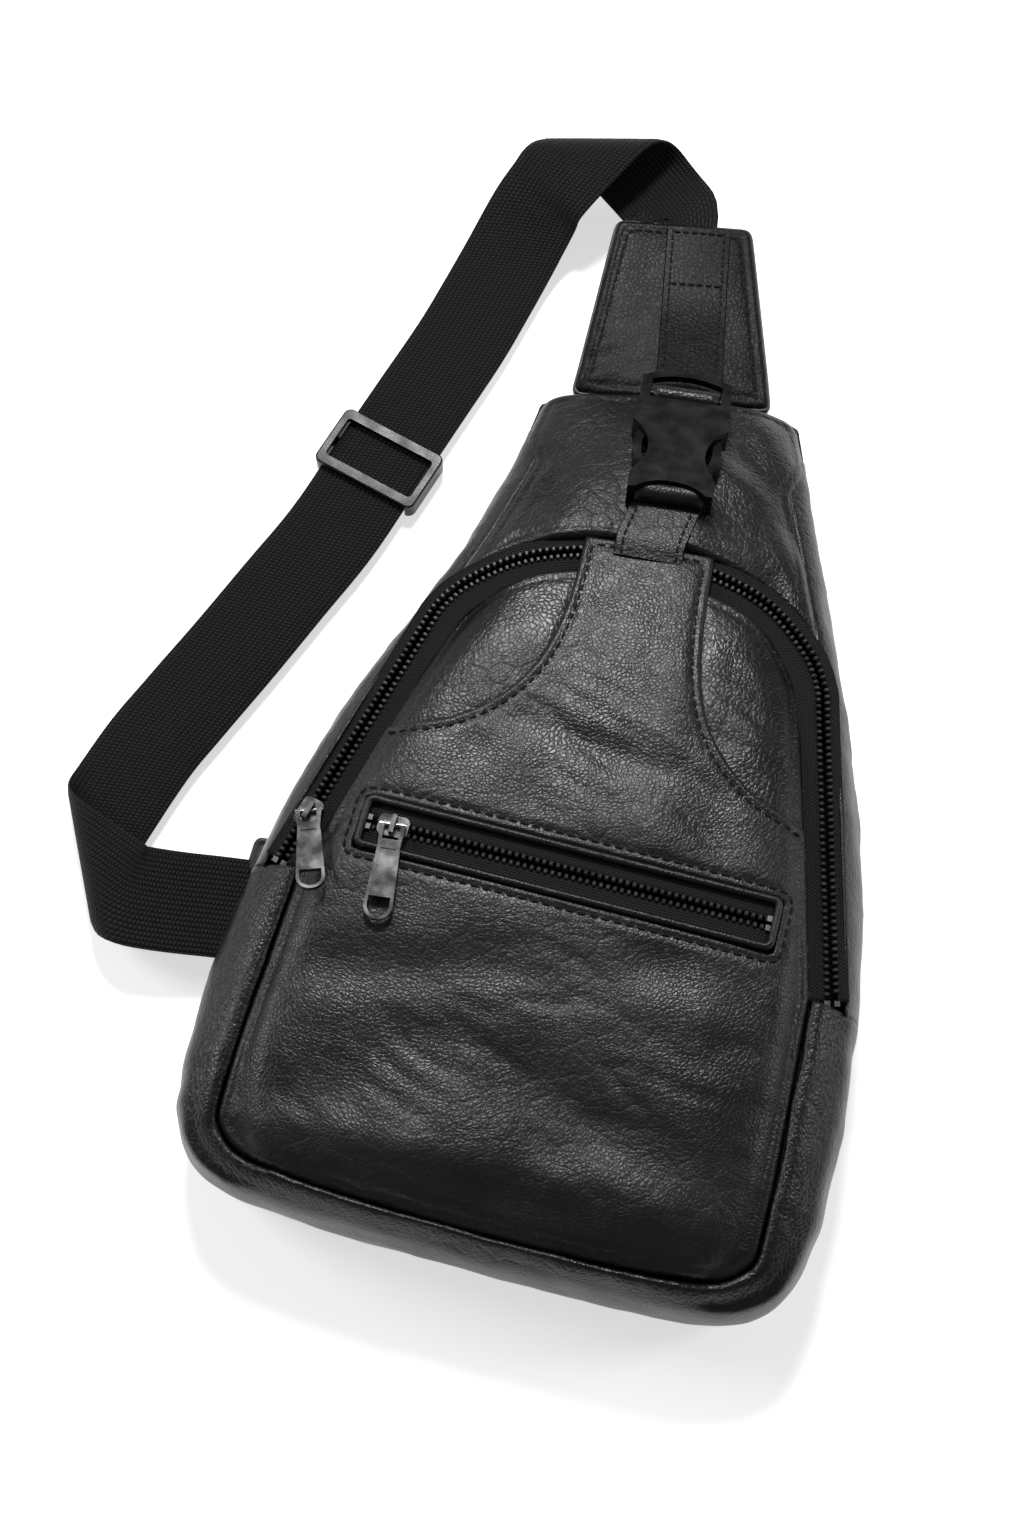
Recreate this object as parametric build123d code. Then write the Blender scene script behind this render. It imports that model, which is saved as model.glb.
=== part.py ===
"""A small leather sling bag with a webbing shoulder strap, lying on its back.

Frame: millimetres, +Z up out of the front panel, +Y towards the neck, +X to the right as the
bag is seen from the front.  The origin is the middle of the flat resting face of the back panel.
Each physical piece is its own solid in its own STEP file.
"""
import os
from math import atan2, cos, degrees, hypot, radians, sin

from build123d import *

os.makedirs("parts", exist_ok=True)

# ---------------------------------------------------------------- the bag's body
body_width = 189.0
body_length = 287.0
body_depth = 47.0
foot_y = -173.0              # lowest edge of the bag, seen from the front
leather = 1.4                # thickness of every leather panel
lap_gap = 0.1                # between two leathers that lie on each other
lap_width = 5.0              # how far a cheek runs on under the yoke
seam_gap = 0.15              # between two leathers that meet edge to edge

bag_lean = 10.0              # degrees that the neck leans to the left
bend_start = -10.0           # where the body starts to lean
bend_length = 140.0          # the lean grows over this length

# Shape of the body, as shares of its length, half width and depth:
# (along, half width, half width of the flat back, height of the back edge, height of the front)
body_rows = [
    (0.000, 0.700, 0.614, 0.200, 0.700),
    (0.018, 0.850, 0.770, 0.060, 0.880),
    (0.052, 0.942, 0.847, 0.000, 0.960),
    (0.115, 0.990, 0.868, 0.000, 1.000),
    (0.220, 1.000, 0.868, 0.000, 1.000),
    (0.359, 0.963, 0.825, 0.000, 1.000),
    (0.446, 0.915, 0.780, 0.000, 1.000),
    (0.550, 0.836, 0.710, 0.000, 0.980),
    (0.638, 0.746, 0.635, 0.000, 0.936),
    (0.760, 0.619, 0.530, 0.000, 0.851),
    (0.882, 0.513, 0.444, 0.000, 0.660),
    (1.000, 0.439, 0.381, 0.000, 0.383),
]

# ---------------------------------------------------------------- zip fasteners, both alike
tooth_gap = 0.6              # half of the slit that the slider's web runs in
tooth_reach = 2.2            # outer edge of a row of teeth, from the slit's middle
tooth_half_height = 1.1
tape_thickness = 0.6
slider_length = 9.0
slider_width = 6.4
plate_thickness = 1.2
slide_clearance = 0.15       # between the slider and the teeth
web_width = 0.8
bail_half_length = 2.75
bail_width = 1.4
bail_bar = 1.0
pull_wire = 0.7              # half thickness of a pull
pull_play = 0.2              # between the pull's crossbar and the slider
pull_reach = 28.7            # from the crossbar to the tip
pull_half_width = 4.2
eye_half_width = 2.4
eye_outer = 3.9
eye_length = 4.6
stop_length = 1.6

# ---------------------------------------------------------------- main zip, an arch round the front
zip_foot_y = -76.0           # both ends of the arch
zip_foot_z = 37.5
zip_rise = -0.4              # degrees that the arch climbs towards the neck
zip_leg_top_y = 14.0         # the legs are straight up to here
zip_top_y = 45.5
zip_inset = 9.7              # from the bag's widest line to the teeth
inner_tape = 6.5             # from the teeth's middle to the front leather
outer_tape = 4.5
zip_end_room = 2.6           # below the arch's feet, for the end stops
slider_from_foot = 16.0      # main slider, along the left leg
main_pull_yaw = 34.0
main_pull_tilt = 19.5

# ---------------------------------------------------------------- pocket zip, straight across
pocket_length = 120.0
pocket_opening = 12.4
pocket_y = -60.7
pocket_sink = 1.6            # teeth below the leather's surface
welt_width = 1.7
welt_stand = 0.4
pocket_slider_x = -51.8
pocket_pull_yaw = 6.0
pocket_bag_depth = 88.0
pocket_bag_thickness = 4.0

# ---------------------------------------------------------------- yoke and its straps
yoke_half_width = 20.2
yoke_top_y = 49.5
strip_width = 21.3           # the two leather strips of the front buckle
strip_thickness = 1.6

# ---------------------------------------------------------------- front buckle, side release
buckle_x = -3.7              # middle of the socket's mouth
buckle_y = 100.6
buckle_z = 30.3
buckle_lean = 5.4
buckle_pitch = 17.2
socket_length = 38.5
socket_width = 30.0
socket_height = 8.0
socket_wall = 1.8
cavity_length = 29.0
prong_clearance = 0.3
plug_length = 15.5
plug_height = 6.4
bar_radius = 1.6
bar_sleeve_gap = 0.2
strap_side_room = 0.8        # beside the lower strip, in the socket's foot
strip_proud = 0.08           # a strip leaves its sleeve this far below the sleeve's own skin

# ---------------------------------------------------------------- neck
neck_base_y = 114.6
neck_top_y = 182.0
neck_base_half = 32.4
neck_top_half = 22.6
neck_bottom_z = 7.0
stiffener_thickness = 0.9
stiffener_margin = 3.0
neck_gap = 0.2               # between the neck's layers

# ---------------------------------------------------------------- webbing and its adjuster
webbing_width = 31.5
webbing_thickness = 1.5
webbing_gap = 0.35           # between the webbing and the adjuster's bars
adjuster_bar = 2.0           # thickness of its three bars
adjuster_length = 22.0
adjuster_rail = 2.5
adjuster_side_gap = 0.4
rail_foot = 0.2              # the adjuster's lowest face above the table

# ---------------------------------------------------------------- linings and back
foam_thickness = 2.6
lining_thickness = 0.5
lining_inset = 4.6
tab_length = 42.0
tab_reach = 15.0
tab_thickness = 3.0


def lay(x, y):
    """Place a point of the straight bag on the leaning one; also gives the local lean."""
    run = min(max(y - bend_start, 0.0), bend_length)
    angle = radians(bag_lean) * run / bend_length
    radius = bend_length / radians(bag_lean)
    beyond = max(y - bend_start - bend_length, 0.0)
    middle_x = -radius * (1 - cos(angle)) - beyond * sin(angle)
    middle_y = min(y, bend_start) + radius * sin(angle) + beyond * cos(angle)
    return middle_x + x * cos(angle), middle_y + x * sin(angle), angle


def row_value(y, column):
    """One column of body_rows at the height y, in a straight line between two rows."""
    share = min(max((y - foot_y) / body_length, 0.0), 1.0)
    for low, high in zip(body_rows, body_rows[1:]):
        if share <= high[0]:
            part = (share - low[0]) / (high[0] - low[0])
            return low[column] + part * (high[column] - low[column])
    return body_rows[-1][column]


def half_width(y):
    return row_value(y, 1) * body_width / 2


def front_height(y):
    return row_value(y, 4) * body_depth


def zip_height(y):
    return zip_foot_z + (y - zip_foot_y) * sin(radians(zip_rise))


def body_section(row, inset):
    """One closed cross-section of the body, drawn smaller by inset all round."""
    along, wide, flat, back, front = row
    y = foot_y + along * body_length + inset * (1 - 2 * along)
    half = wide * body_width / 2
    low = back * body_depth
    top = front * body_depth
    shoulder = min(zip_height(y) + 0.4, 0.8 * top)
    crown = half - 29.0
    side = [
        (flat * body_width / 2 - inset, low + inset),
        (half - 2.5 - inset, low + 0.18 * (top - low) + 0.3 * inset),
        (half - inset, low + 0.46 * (top - low)),
        (half - 3.0 - 0.95 * inset, low + 0.85 * (shoulder - low) - 0.3 * inset),
        (half - zip_inset - 0.7 * inset, shoulder - 0.7 * inset),
        (half - 19.0 - 0.5 * inset, 0.6 * shoulder + 0.4 * top - 0.87 * inset),
        (crown - 0.2 * inset, top - 1.2 - inset),
        (crown / 2, top - 0.05 - inset),
    ]
    ring = side + [(0.0, top - inset)] + [(-x, z) for x, z in reversed(side)]
    middle_x, middle_y, angle = lay(0.0, y)
    plane = Plane(
        origin=(middle_x, middle_y, 0.0),
        x_dir=(cos(angle), sin(angle), 0.0),
        z_dir=(sin(angle), -cos(angle), 0.0),
    )
    curve = Spline(*[(x, z) for x, z in ring])
    return plane * make_face([curve, Line(curve @ 1, curve @ 0)])


def body_solid(inset):
    return loft([body_section(row, inset) for row in body_rows], ruled=True)


def block(x0, x1, y0, y1, z0, z1):
    """A box from its lowest to its highest corner."""
    return Pos((x0 + x1) / 2, (y0 + y1) / 2, (z0 + z1) / 2) * Box(x1 - x0, y1 - y0, z1 - z0)


def prism(face, z0, z1):
    return Pos(0, 0, z0) * extrude(face, z1 - z0)


def closed(points):
    return make_face(Polyline(*points, close=True))


# ---------------------------------------------------------------- outlines seen from the front
leg_angle = atan2(
    half_width(zip_foot_y) - half_width(zip_leg_top_y), zip_leg_top_y - zip_foot_y
)


def arch_curves(offset):
    """The main zip's line from the right foot over the top to the left foot, moved outwards."""
    leg_x = half_width(zip_leg_top_y) - zip_inset
    foot_x = half_width(zip_foot_y) - zip_inset
    drop = zip_top_y - zip_leg_top_y
    right = [
        (foot_x, zip_foot_y, degrees(leg_angle)),
        (leg_x, zip_leg_top_y, degrees(leg_angle)),
        (0.885 * leg_x, zip_top_y - 0.64 * drop, 37.0),
        (0.63 * leg_x, zip_top_y - 0.245 * drop, 62.0),
        (0.31 * leg_x, zip_top_y - 0.04 * drop, 81.0),
    ]
    points = []
    mirrored = [(-x, y, 180.0 - turn) for x, y, turn in reversed(right)]
    for x, y, turn in right + [(0.0, zip_top_y, 90.0)] + mirrored:
        px, py, _ = lay(x + offset * cos(radians(turn)), y + offset * sin(radians(turn)))
        points.append((px, py))
    first, last = Line(points[0], points[1]), Line(points[-2], points[-1])
    top = Spline(*points[1:-1], tangents=[first % 1, last % 0])
    return [first, top, last]


def arch_zone(offset, below):
    """All that lies inside an offset of the arch, and on down below its feet."""
    curves = arch_curves(offset)
    left, right = curves[-1] @ 1, curves[0] @ 0
    foot = Polyline(
        (left.X, left.Y), (left.X, left.Y - below), (right.X, right.Y - below), (right.X, right.Y)
    )
    return make_face(curves + [foot])


def arch_band(inner, outer):
    """The strip between two offsets of the arch."""
    far, near = arch_curves(outer), arch_curves(inner)
    ends = [Line(far[-1] @ 1, near[-1] @ 1), Line(near[0] @ 0, far[0] @ 0)]
    return make_face(far + near + ends)


def front_outline():
    """The front panel: inside the arch, and down to the seam with the lower gusset."""
    curves = arch_curves(-inner_tape)
    right, left = curves[0] @ 0, curves[-1] @ 1
    seam_inset = half_width(zip_foot_y) - right.X
    low_y = foot_y + 7.5
    corner_y = foot_y + 16.5
    side_y = foot_y + 33.0
    turn = [
        (half_width(side_y) - seam_inset, side_y),
        (half_width(corner_y) - seam_inset + 1.0, corner_y),
        (0.58 * body_width / 2, low_y + 2.0),
        (0.0, low_y),
    ]
    path = turn + [(-x, y) for x, y in reversed(turn[:-1])]
    seam = Spline(
        (right.X, right.Y), *path, (left.X, left.Y), tangents=[(0.06, -1), (0.06, 1)]
    )
    return make_face(curves + [seam])


def yoke_edge(side, shift):
    """Points of the yoke's side edge, from the tab down to the zip; shift moves it inwards."""
    shape = [
        (yoke_half_width, yoke_top_y + 1.0),
        (yoke_half_width + 0.4, 30.0),
        (yoke_half_width + 2.2, 14.0),
        (yoke_half_width + 5.2, 2.0),
        (yoke_half_width + 10.8, -9.0),
        (yoke_half_width + 19.8, -18.5),
        (yoke_half_width + 31.8, -25.5),
        (yoke_half_width + 62.0, -33.0),
    ]
    return [lay(side * (x - 0.8 * shift), y - 0.8 * shift)[:2] for x, y in shape]


def cheek_zone(side, shift):
    points = yoke_edge(side, shift)
    edge = Spline(*points)
    corner = [lay(side * body_width, y)[:2] for y in (points[-1][1], zip_top_y + 60.0)]
    top = lay(side * (yoke_half_width - 0.8 * shift), zip_top_y + 60.0)[:2]
    return make_face([edge, Polyline(points[-1], *corner, top, points[0])])


def body_plan(inset, low_y, high_y):
    """The body's outline from low_y up, as seen from the front, drawn smaller by inset."""
    heights = [foot_y + row[0] * body_length for row in body_rows]
    steps = [low_y] + [y for y in heights if low_y < y < high_y] + [high_y]
    right = [lay(half_width(y) - inset, y)[:2] for y in steps]
    left = [lay(inset - half_width(y), y)[:2] for y in reversed(steps)]
    return closed(right + left)


tall = 3 * body_depth
mid_z = 0.55 * body_depth
body_top_y = foot_y + body_length
outer_skin = body_solid(0.0)
shell = outer_skin - body_solid(leather)
under_shell = body_solid(leather + lap_gap) - body_solid(2 * leather + lap_gap)
above_table = block(-body_width, body_width, foot_y - 9, body_top_y + 60, 0, tall)

front_face = front_outline()
tab_face = closed(
    [
        lay(-yoke_half_width, zip_leg_top_y)[:2],
        lay(yoke_half_width, zip_leg_top_y)[:2],
        lay(yoke_half_width, yoke_top_y)[:2],
        lay(-yoke_half_width, yoke_top_y)[:2],
    ]
)
parts = {}

# ---------------------------------------------------------------- back, gusset and side walls
back_slab = block(-body_width, body_width, foot_y - 9, body_top_y + 60, 0, leather)
parts["back_panel"] = shell & back_slab
foam_body = body_solid(leather + lap_gap)
foam_base = leather + lap_gap
parts["back_foam"] = foam_body & block(
    -body_width, body_width, foot_y - 9, body_top_y + 60, foam_base, foam_base + foam_thickness
)

above_back = block(
    -body_width, body_width, foot_y - 9, body_top_y + 60, leather, tall
)
cap_y = zip_foot_y - zip_end_room
lower_half = block(-body_width, body_width, foot_y - 9, cap_y - seam_gap, 0, tall)
upper_half = block(-body_width, body_width, cap_y, body_top_y + 60, 0, tall)
parts["lower_gusset"] = (shell & lower_half & above_back) - prism(front_face, mid_z, tall)

opening_zone = prism(arch_zone(outer_tape, 4 * zip_end_room), mid_z, tall)
tab_clear = prism(tab_face, mid_z, tall)
upper_shell = (shell & upper_half & above_back) - opening_zone - tab_clear
top_zone = prism(body_plan(8.0, zip_leg_top_y, body_top_y + 20.0), mid_z * 0.25, tall)
parts["upper_panel"] = upper_shell & top_zone
side_walls = upper_shell - top_zone
middle = [lay(0.0, y)[:2] for y in (cap_y - 5, bend_start, 60.0, body_top_y + 20.0)]
for name, side in (("side_wall_left", -1), ("side_wall_right", 1)):
    edge = [lay(side * body_width, y)[:2] for y in (body_top_y + 20.0, cap_y - 5)]
    parts[name] = side_walls & prism(closed(middle + edge), 0, tall)

# ---------------------------------------------------------------- front: yoke panel and cheeks
pocket_z = body_depth - pocket_sink
welt_half_x = pocket_length / 2 + welt_width
welt_half_y = pocket_opening / 2 + welt_width
window = block(
    -welt_half_x, welt_half_x, pocket_y - welt_half_y, pocket_y + welt_half_y, mid_z, tall
)
front_skin = shell & (prism(front_face, mid_z, tall) + prism(tab_face, mid_z, tall))
for side in (-1, 1):
    front_skin = front_skin - prism(cheek_zone(side, 0.0), mid_z, tall)
parts["front_panel"] = front_skin - window
cheek_skin = under_shell & prism(front_face, mid_z, tall)
for name, side in (("cheek_left", -1), ("cheek_right", 1)):
    parts[name] = cheek_skin & prism(cheek_zone(side, lap_width), mid_z, tall)

lining_body = body_solid(lining_inset) - body_solid(lining_inset + lining_thickness)
zip_room = prism(arch_band(-inner_tape - 3.0, outer_tape + 2.5), mid_z, tall)
parts["lining"] = lining_body - zip_room - window

# ---------------------------------------------------------------- a zip's slider and pull
plate_z = tooth_half_height + slide_clearance
plate_top = plate_z + plate_thickness
axis_z = plate_top + pull_play + pull_wire
bail_z = axis_z + pull_wire + slide_clearance


def slider_solid(bail_turn):
    """Two plates joined by a web between the teeth, and the bail that holds the pull."""
    plate = Box(slider_width, slider_length, plate_thickness)
    plate = fillet(plate.edges().filter_by(Axis.Z), 1.8)
    offset = plate_z + plate_thickness / 2
    body = Pos(0, 0, offset) * plate + Pos(0, 0, -offset) * plate
    body += Pos(0, slider_length / 2 - 2.6, 0) * Box(web_width, 3.0, 2 * plate_z)
    rise = bail_z + bail_bar - plate_top
    bail = Pos(0, 0, bail_z + bail_bar / 2) * Box(bail_width, 2 * bail_half_length, bail_bar)
    for end in (-1, 1):
        post_y = end * (bail_half_length - 0.45)
        bail += Pos(0, post_y, plate_top + rise / 2) * Box(bail_width, 0.9, rise)
    return body + Rot(Z=bail_turn) * bail


def pull_solid():
    """A flat pull hanging along -Y from its crossbar on the X axis, with a slot near the tip."""
    centre_y = pull_half_width - pull_reach
    rim = 1.0
    neck = pull_half_width - 0.9
    outline = make_face(
        [
            Polyline(
                (-pull_half_width, centre_y), (-neck, -6.0), (-eye_outer, 0),
                (eye_outer, 0), (neck, -6.0), (pull_half_width, centre_y),
            ),
            ThreePointArc(
                (pull_half_width, centre_y), (0, -pull_reach), (-pull_half_width, centre_y)
            ),
        ]
    )
    plate = Pos(0, 0, -pull_wire) * extrude(outline, 2 * pull_wire)
    eye = block(-eye_half_width, eye_half_width, -eye_length, 1, -2, 2)
    crossbar = Rot(Y=90) * Cylinder(pull_wire, 2 * eye_outer)
    slot_half = pull_half_width - rim
    slot = make_face(
        [
            Polyline((slot_half, centre_y), (slot_half, centre_y + 2.6),
                     (-slot_half, centre_y + 2.6), (-slot_half, centre_y)),
            ThreePointArc((-slot_half, centre_y), (0, rim - pull_reach), (slot_half, centre_y)),
        ]
    )
    recess = closed(
        [
            (-slot_half + 0.3, centre_y + 3.6), (slot_half - 0.3, centre_y + 3.6),
            (neck - rim, -7.4), (rim - neck, -7.4),
        ]
    )
    plate = plate - eye - Pos(0, 0, -2) * extrude(slot, 4)
    return plate - Pos(0, 0, pull_wire - 0.3) * extrude(recess, 1) + crossbar


# ---------------------------------------------------------------- main zip
zip_place = Pos(0, zip_foot_y, zip_foot_z) * Rot(X=zip_rise) * Pos(0, -zip_foot_y, 0)


def main_strip(inner, outer, half_height):
    band = arch_band(inner, outer)
    return zip_place * (Pos(0, 0, -half_height) * extrude(band, 2 * half_height))


parts["main_teeth_inner"] = main_strip(-tooth_reach, -tooth_gap, tooth_half_height)
parts["main_teeth_outer"] = main_strip(tooth_gap, tooth_reach, tooth_half_height)
parts["main_tape_inner"] = main_strip(0.1 - inner_tape, -tooth_reach, tape_thickness / 2)
parts["main_tape_outer"] = main_strip(tooth_reach, outer_tape - 0.1, tape_thickness / 2)

left_leg = arch_curves(0.0)[-1]
leg_up = left_leg @ 0 - left_leg @ 1
leg_turn = degrees(atan2(leg_up.Y, leg_up.X)) - 90.0
leg_length = hypot(leg_up.X, leg_up.Y)


def on_leg(distance):
    """The local frame on the left leg, Y along the teeth towards the neck."""
    spot = left_leg @ 1 + leg_up * (distance / leg_length)
    return zip_place * Pos(spot.X, spot.Y, 0) * Rot(Z=leg_turn)


def stop_pair(height):
    """Two end clips, one on each row of teeth, just past their end."""
    pair = None
    for side in (-1, 1):
        middle_x = side * (tooth_gap + tooth_reach) / 2
        clip = Pos(middle_x, -stop_length / 2, 0) * Box(
            tooth_reach - tooth_gap, stop_length, height
        )
        pair = clip if pair is None else pair + clip
    return pair


right_leg = arch_curves(0.0)[0]
right_turn = degrees(atan2((right_leg % 0).Y, (right_leg % 0).X)) - 90.0
right_foot = right_leg @ 0
stops = on_leg(0.0) * stop_pair(2 * tooth_half_height)
stops += zip_place * Pos(right_foot.X, right_foot.Y, 0) * Rot(Z=right_turn) * stop_pair(
    2 * tooth_half_height
)
parts["main_stops"] = stops

main_slider_place = on_leg(slider_from_foot)
parts["main_slider"] = main_slider_place * slider_solid(0.0)
main_pull_place = (
    main_slider_place * Pos(0, 0, axis_z) * Rot(Z=main_pull_yaw) * Rot(X=-main_pull_tilt)
)
parts["main_pull"] = main_pull_place * pull_solid()

# ---------------------------------------------------------------- pocket zip
welt_low = pocket_z - 1.0
welt_high = body_depth + welt_stand
parts["pocket_welt"] = block(
    -welt_half_x, welt_half_x, pocket_y - welt_half_y, pocket_y + welt_half_y, welt_low, welt_high
) - block(
    -pocket_length / 2, pocket_length / 2,
    pocket_y - pocket_opening / 2, pocket_y + pocket_opening / 2, welt_low - 1, welt_high + 1,
)
half_window = pocket_length / 2
teeth_end = half_window - stop_length
for name, side in (("upper", 1), ("lower", -1)):
    near, edge, far = side * tooth_gap, side * tooth_reach, side * pocket_opening / 2
    teeth_y = sorted((pocket_y + near, pocket_y + edge))
    tape_y = sorted((pocket_y + edge, pocket_y + far))
    parts["pocket_teeth_" + name] = block(
        -teeth_end, teeth_end, *teeth_y,
        pocket_z - tooth_half_height, pocket_z + tooth_half_height,
    )
    parts["pocket_tape_" + name] = block(
        -half_window, half_window, *tape_y,
        pocket_z - tape_thickness / 2, pocket_z + tape_thickness / 2,
    )
pocket_frame = Pos(0, pocket_y, pocket_z)
left_stops = Pos(-teeth_end, 0, 0) * Rot(Z=-90) * stop_pair(2 * tooth_half_height)
right_stops = Pos(teeth_end, 0, 0) * Rot(Z=90) * stop_pair(2 * tooth_half_height)
parts["pocket_stops"] = pocket_frame * (left_stops + right_stops)
pocket_slider_place = Pos(pocket_slider_x, pocket_y, pocket_z)
parts["pocket_slider"] = pocket_slider_place * Rot(Z=-90) * slider_solid(90.0)
pocket_pull_place = pocket_slider_place * Pos(0, 0, axis_z) * Rot(Z=pocket_pull_yaw)
parts["pocket_pull"] = pocket_pull_place * pull_solid()

bag_top = body_depth - lining_inset - lining_thickness - 1.6
bag_half_x = pocket_length / 2 - 5.0
parts["pocket_bag"] = block(
    -bag_half_x, bag_half_x, pocket_y + 10.0 - pocket_bag_depth, pocket_y + 10.0,
    bag_top - pocket_bag_thickness, bag_top,
)

# ---------------------------------------------------------------- front buckle
buckle_place = (
    Pos(buckle_x, buckle_y, buckle_z) * Rot(Z=buckle_lean) * Rot(X=-buckle_pitch)
)
bar_y = 3.2 - socket_length   # the socket's strap bar, along the buckle from its mouth
plug_bar_y = 6.4


def socket_solid():
    """The female half: a flat sleeve, waisted at the release windows, with a bar at its foot."""
    half = socket_width / 2
    outline = None
    for side in (-1, 1):
        edge = [
            Polyline((0, 0), (side * half, 0), (side * half, -9.5)),
            ThreePointArc(
                (side * half, -9.5), (side * (half - 5.6), -17.5), (side * (half - 3.4), -29.0)
            ),
            Polyline(
                (side * (half - 3.4), -29.0), (side * (half - 1.6), -33.0),
                (side * (half - 1.9), -socket_length), (side * (half - 4.0), -socket_length),
            ),
            ThreePointArc(
                (side * (half - 4.0), -socket_length),
                (side * (half - 7.5), -socket_length + 2.6),
                (0, -socket_length + 4.2),
            ),
            Line((0, -socket_length + 4.2), (0, 0)),
        ]
        face = make_face(edge)
        outline = face if outline is None else outline + face
    body = Pos(0, 0, -socket_height / 2) * extrude(outline, socket_height)
    cavity_height = socket_height - 2 * socket_wall
    body -= block(
        2.2 - half, half - 2.2, -cavity_length, 1, -cavity_height / 2, cavity_height / 2
    )
    for side in (-1, 1):
        inner, outer = sorted((side * (half - 6.4), side * (half + 1)))
        body -= block(inner, outer, -28.0, -11.0, -cavity_height / 2, cavity_height / 2)
    strap_half = strip_width / 2 + strap_side_room
    body -= block(
        -strap_half, strap_half, -socket_length - 1, bar_y + sleeve_outer + bar_sleeve_gap,
        -socket_height, bar_z + sleeve_outer + bar_sleeve_gap,
    )
    bar = Pos(0, bar_y, bar_z) * Rot(Y=90) * Cylinder(bar_radius, 2 * strap_half + 2)
    return body + bar


bar_z = -0.9
sleeve_inner = bar_radius + bar_sleeve_gap
sleeve_outer = sleeve_inner + strip_thickness


def plug_solid():
    """The male half's frame: a root block, two rails, an arched end and the strap's bar."""
    half = socket_width / 2 - 0.6
    z_low, z_high = -plug_height / 2, plug_height / 2
    outline = make_face(
        [
            Polyline((-half, 11.6), (-half, 0.4), (half, 0.4), (half, 11.6)),
            ThreePointArc((half, 11.6), (0, plug_length), (-half, 11.6)),
        ]
    )
    frame = Pos(0, 0, z_low) * extrude(outline, plug_height)
    room = strip_width / 2 + 0.6
    opening = make_face(
        [
            Polyline((-room, 10.4), (-room, 2.4), (room, 2.4), (room, 10.4)),
            ThreePointArc((room, 10.4), (0, plug_length - 2.6), (-room, 10.4)),
        ]
    )
    frame -= Pos(0, 0, -9) * extrude(opening, 18)
    frame -= block(-room, room, 9.0, plug_length + 1, z_low - 1, 0.9)
    bar = Pos(0, plug_bar_y, 0) * Rot(Y=90) * Cylinder(bar_radius, 2 * room + 1)
    return frame + bar


def prongs_solid():
    """Two springy side arms and a middle guide, reaching into the socket."""
    inner_half = socket_height / 2 - socket_wall - prong_clearance
    side_limit = socket_width / 2 - 2.2 - prong_clearance
    solid = block(-1.8, 1.8, -22.0, 0.4, -inner_half, inner_half)
    for side in (-1, 1):
        arm = make_face(
            [
                Spline(
                    (side * side_limit, 0.4), (side * (side_limit - 0.4), -9.0),
                    (side * (side_limit + 0.9), -14.0), (side * (side_limit + 1.2), -20.0),
                    (side * (side_limit - 1.6), -26.4),
                ),
                Polyline(
                    (side * (side_limit - 1.6), -26.4), (side * (side_limit - 3.4), -25.6)
                ),
                Spline(
                    (side * (side_limit - 3.4), -25.6), (side * (side_limit - 1.4), -19.0),
                    (side * (side_limit - 2.4), -10.0), (side * (side_limit - 3.0), 0.4),
                ),
                Line((side * (side_limit - 3.0), 0.4), (side * side_limit, 0.4)),
            ]
        )
        solid += Pos(0, 0, -inner_half) * extrude(arm, 2 * inner_half)
    return solid


parts["buckle_socket"] = buckle_place * socket_solid()
parts["buckle_plug"] = buckle_place * plug_solid()
parts["buckle_prongs"] = buckle_place * prongs_solid()


def blend_points(points, position):
    """A smooth curve through a list of vectors; position counts the points passed."""
    last = len(points) - 1
    index = min(int(position), last - 1)
    t = position - index
    p1, p2 = points[index], points[index + 1]
    p0 = points[index - 1] if index > 0 else p1 * 2 - p2
    p3 = points[index + 2] if index + 2 <= last else p2 * 2 - p1
    return (
        p1 * 2 + (p2 - p0) * t + (p0 * 2 - p1 * 5 + p2 * 4 - p3) * (t * t)
        + (p1 * 3 - p0 - p2 * 3 + p3) * (t * t * t)
    ) * 0.5


def ribbon(stations, width, thickness, steps):
    """A flat strap.  A station is (x, y, z, turn, bank): the middle of the strap, the direction
    across it from its left edge to its right one, in degrees from +X, and how far the right
    edge dips.  The strap keeps its width where it crosses a bend at a slant."""
    middles = [Vector(x, y, z) for x, y, z, _, _ in stations]
    across = []
    for _, _, _, turn, bank in stations:
        level = cos(radians(bank))
        across.append(
            Vector(level * cos(radians(turn)), level * sin(radians(turn)), -sin(radians(bank)))
        )
    count = (len(stations) - 1) * steps
    sections = []
    for number in range(count + 1):
        place = number / steps
        middle = blend_points(middles, place)
        ahead = blend_points(middles, min(place + 0.02, len(stations) - 1))
        behind = blend_points(middles, max(place - 0.02, 0))
        forward = (ahead - behind).normalized()
        cross = blend_points(across, place).normalized()
        slant = max(1 - cross.dot(forward) ** 2, 0.35) ** 0.5
        up = cross.cross(forward).normalized()
        frame = Plane(origin=middle, x_dir=cross, z_dir=cross.cross(up))
        sections.append(frame * Rectangle(width / slant, thickness))
    return loft(sections, ruled=True)


# ---------------------------------------------------------------- leather strips of the buckle
def in_buckle(x, y, z):
    return (buckle_place * Pos(x, y, z)).position


def strip_station(point, turn):
    return (point.X, point.Y, point.Z, turn, 0.0)


def sleeve(y, z):
    """The end of a strip, sewn round a bar."""
    ring = Cylinder(sleeve_outer, strip_width) - Cylinder(sleeve_inner, strip_width + 1)
    return buckle_place * Pos(0, y, z) * Rot(Y=90) * ring


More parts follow.
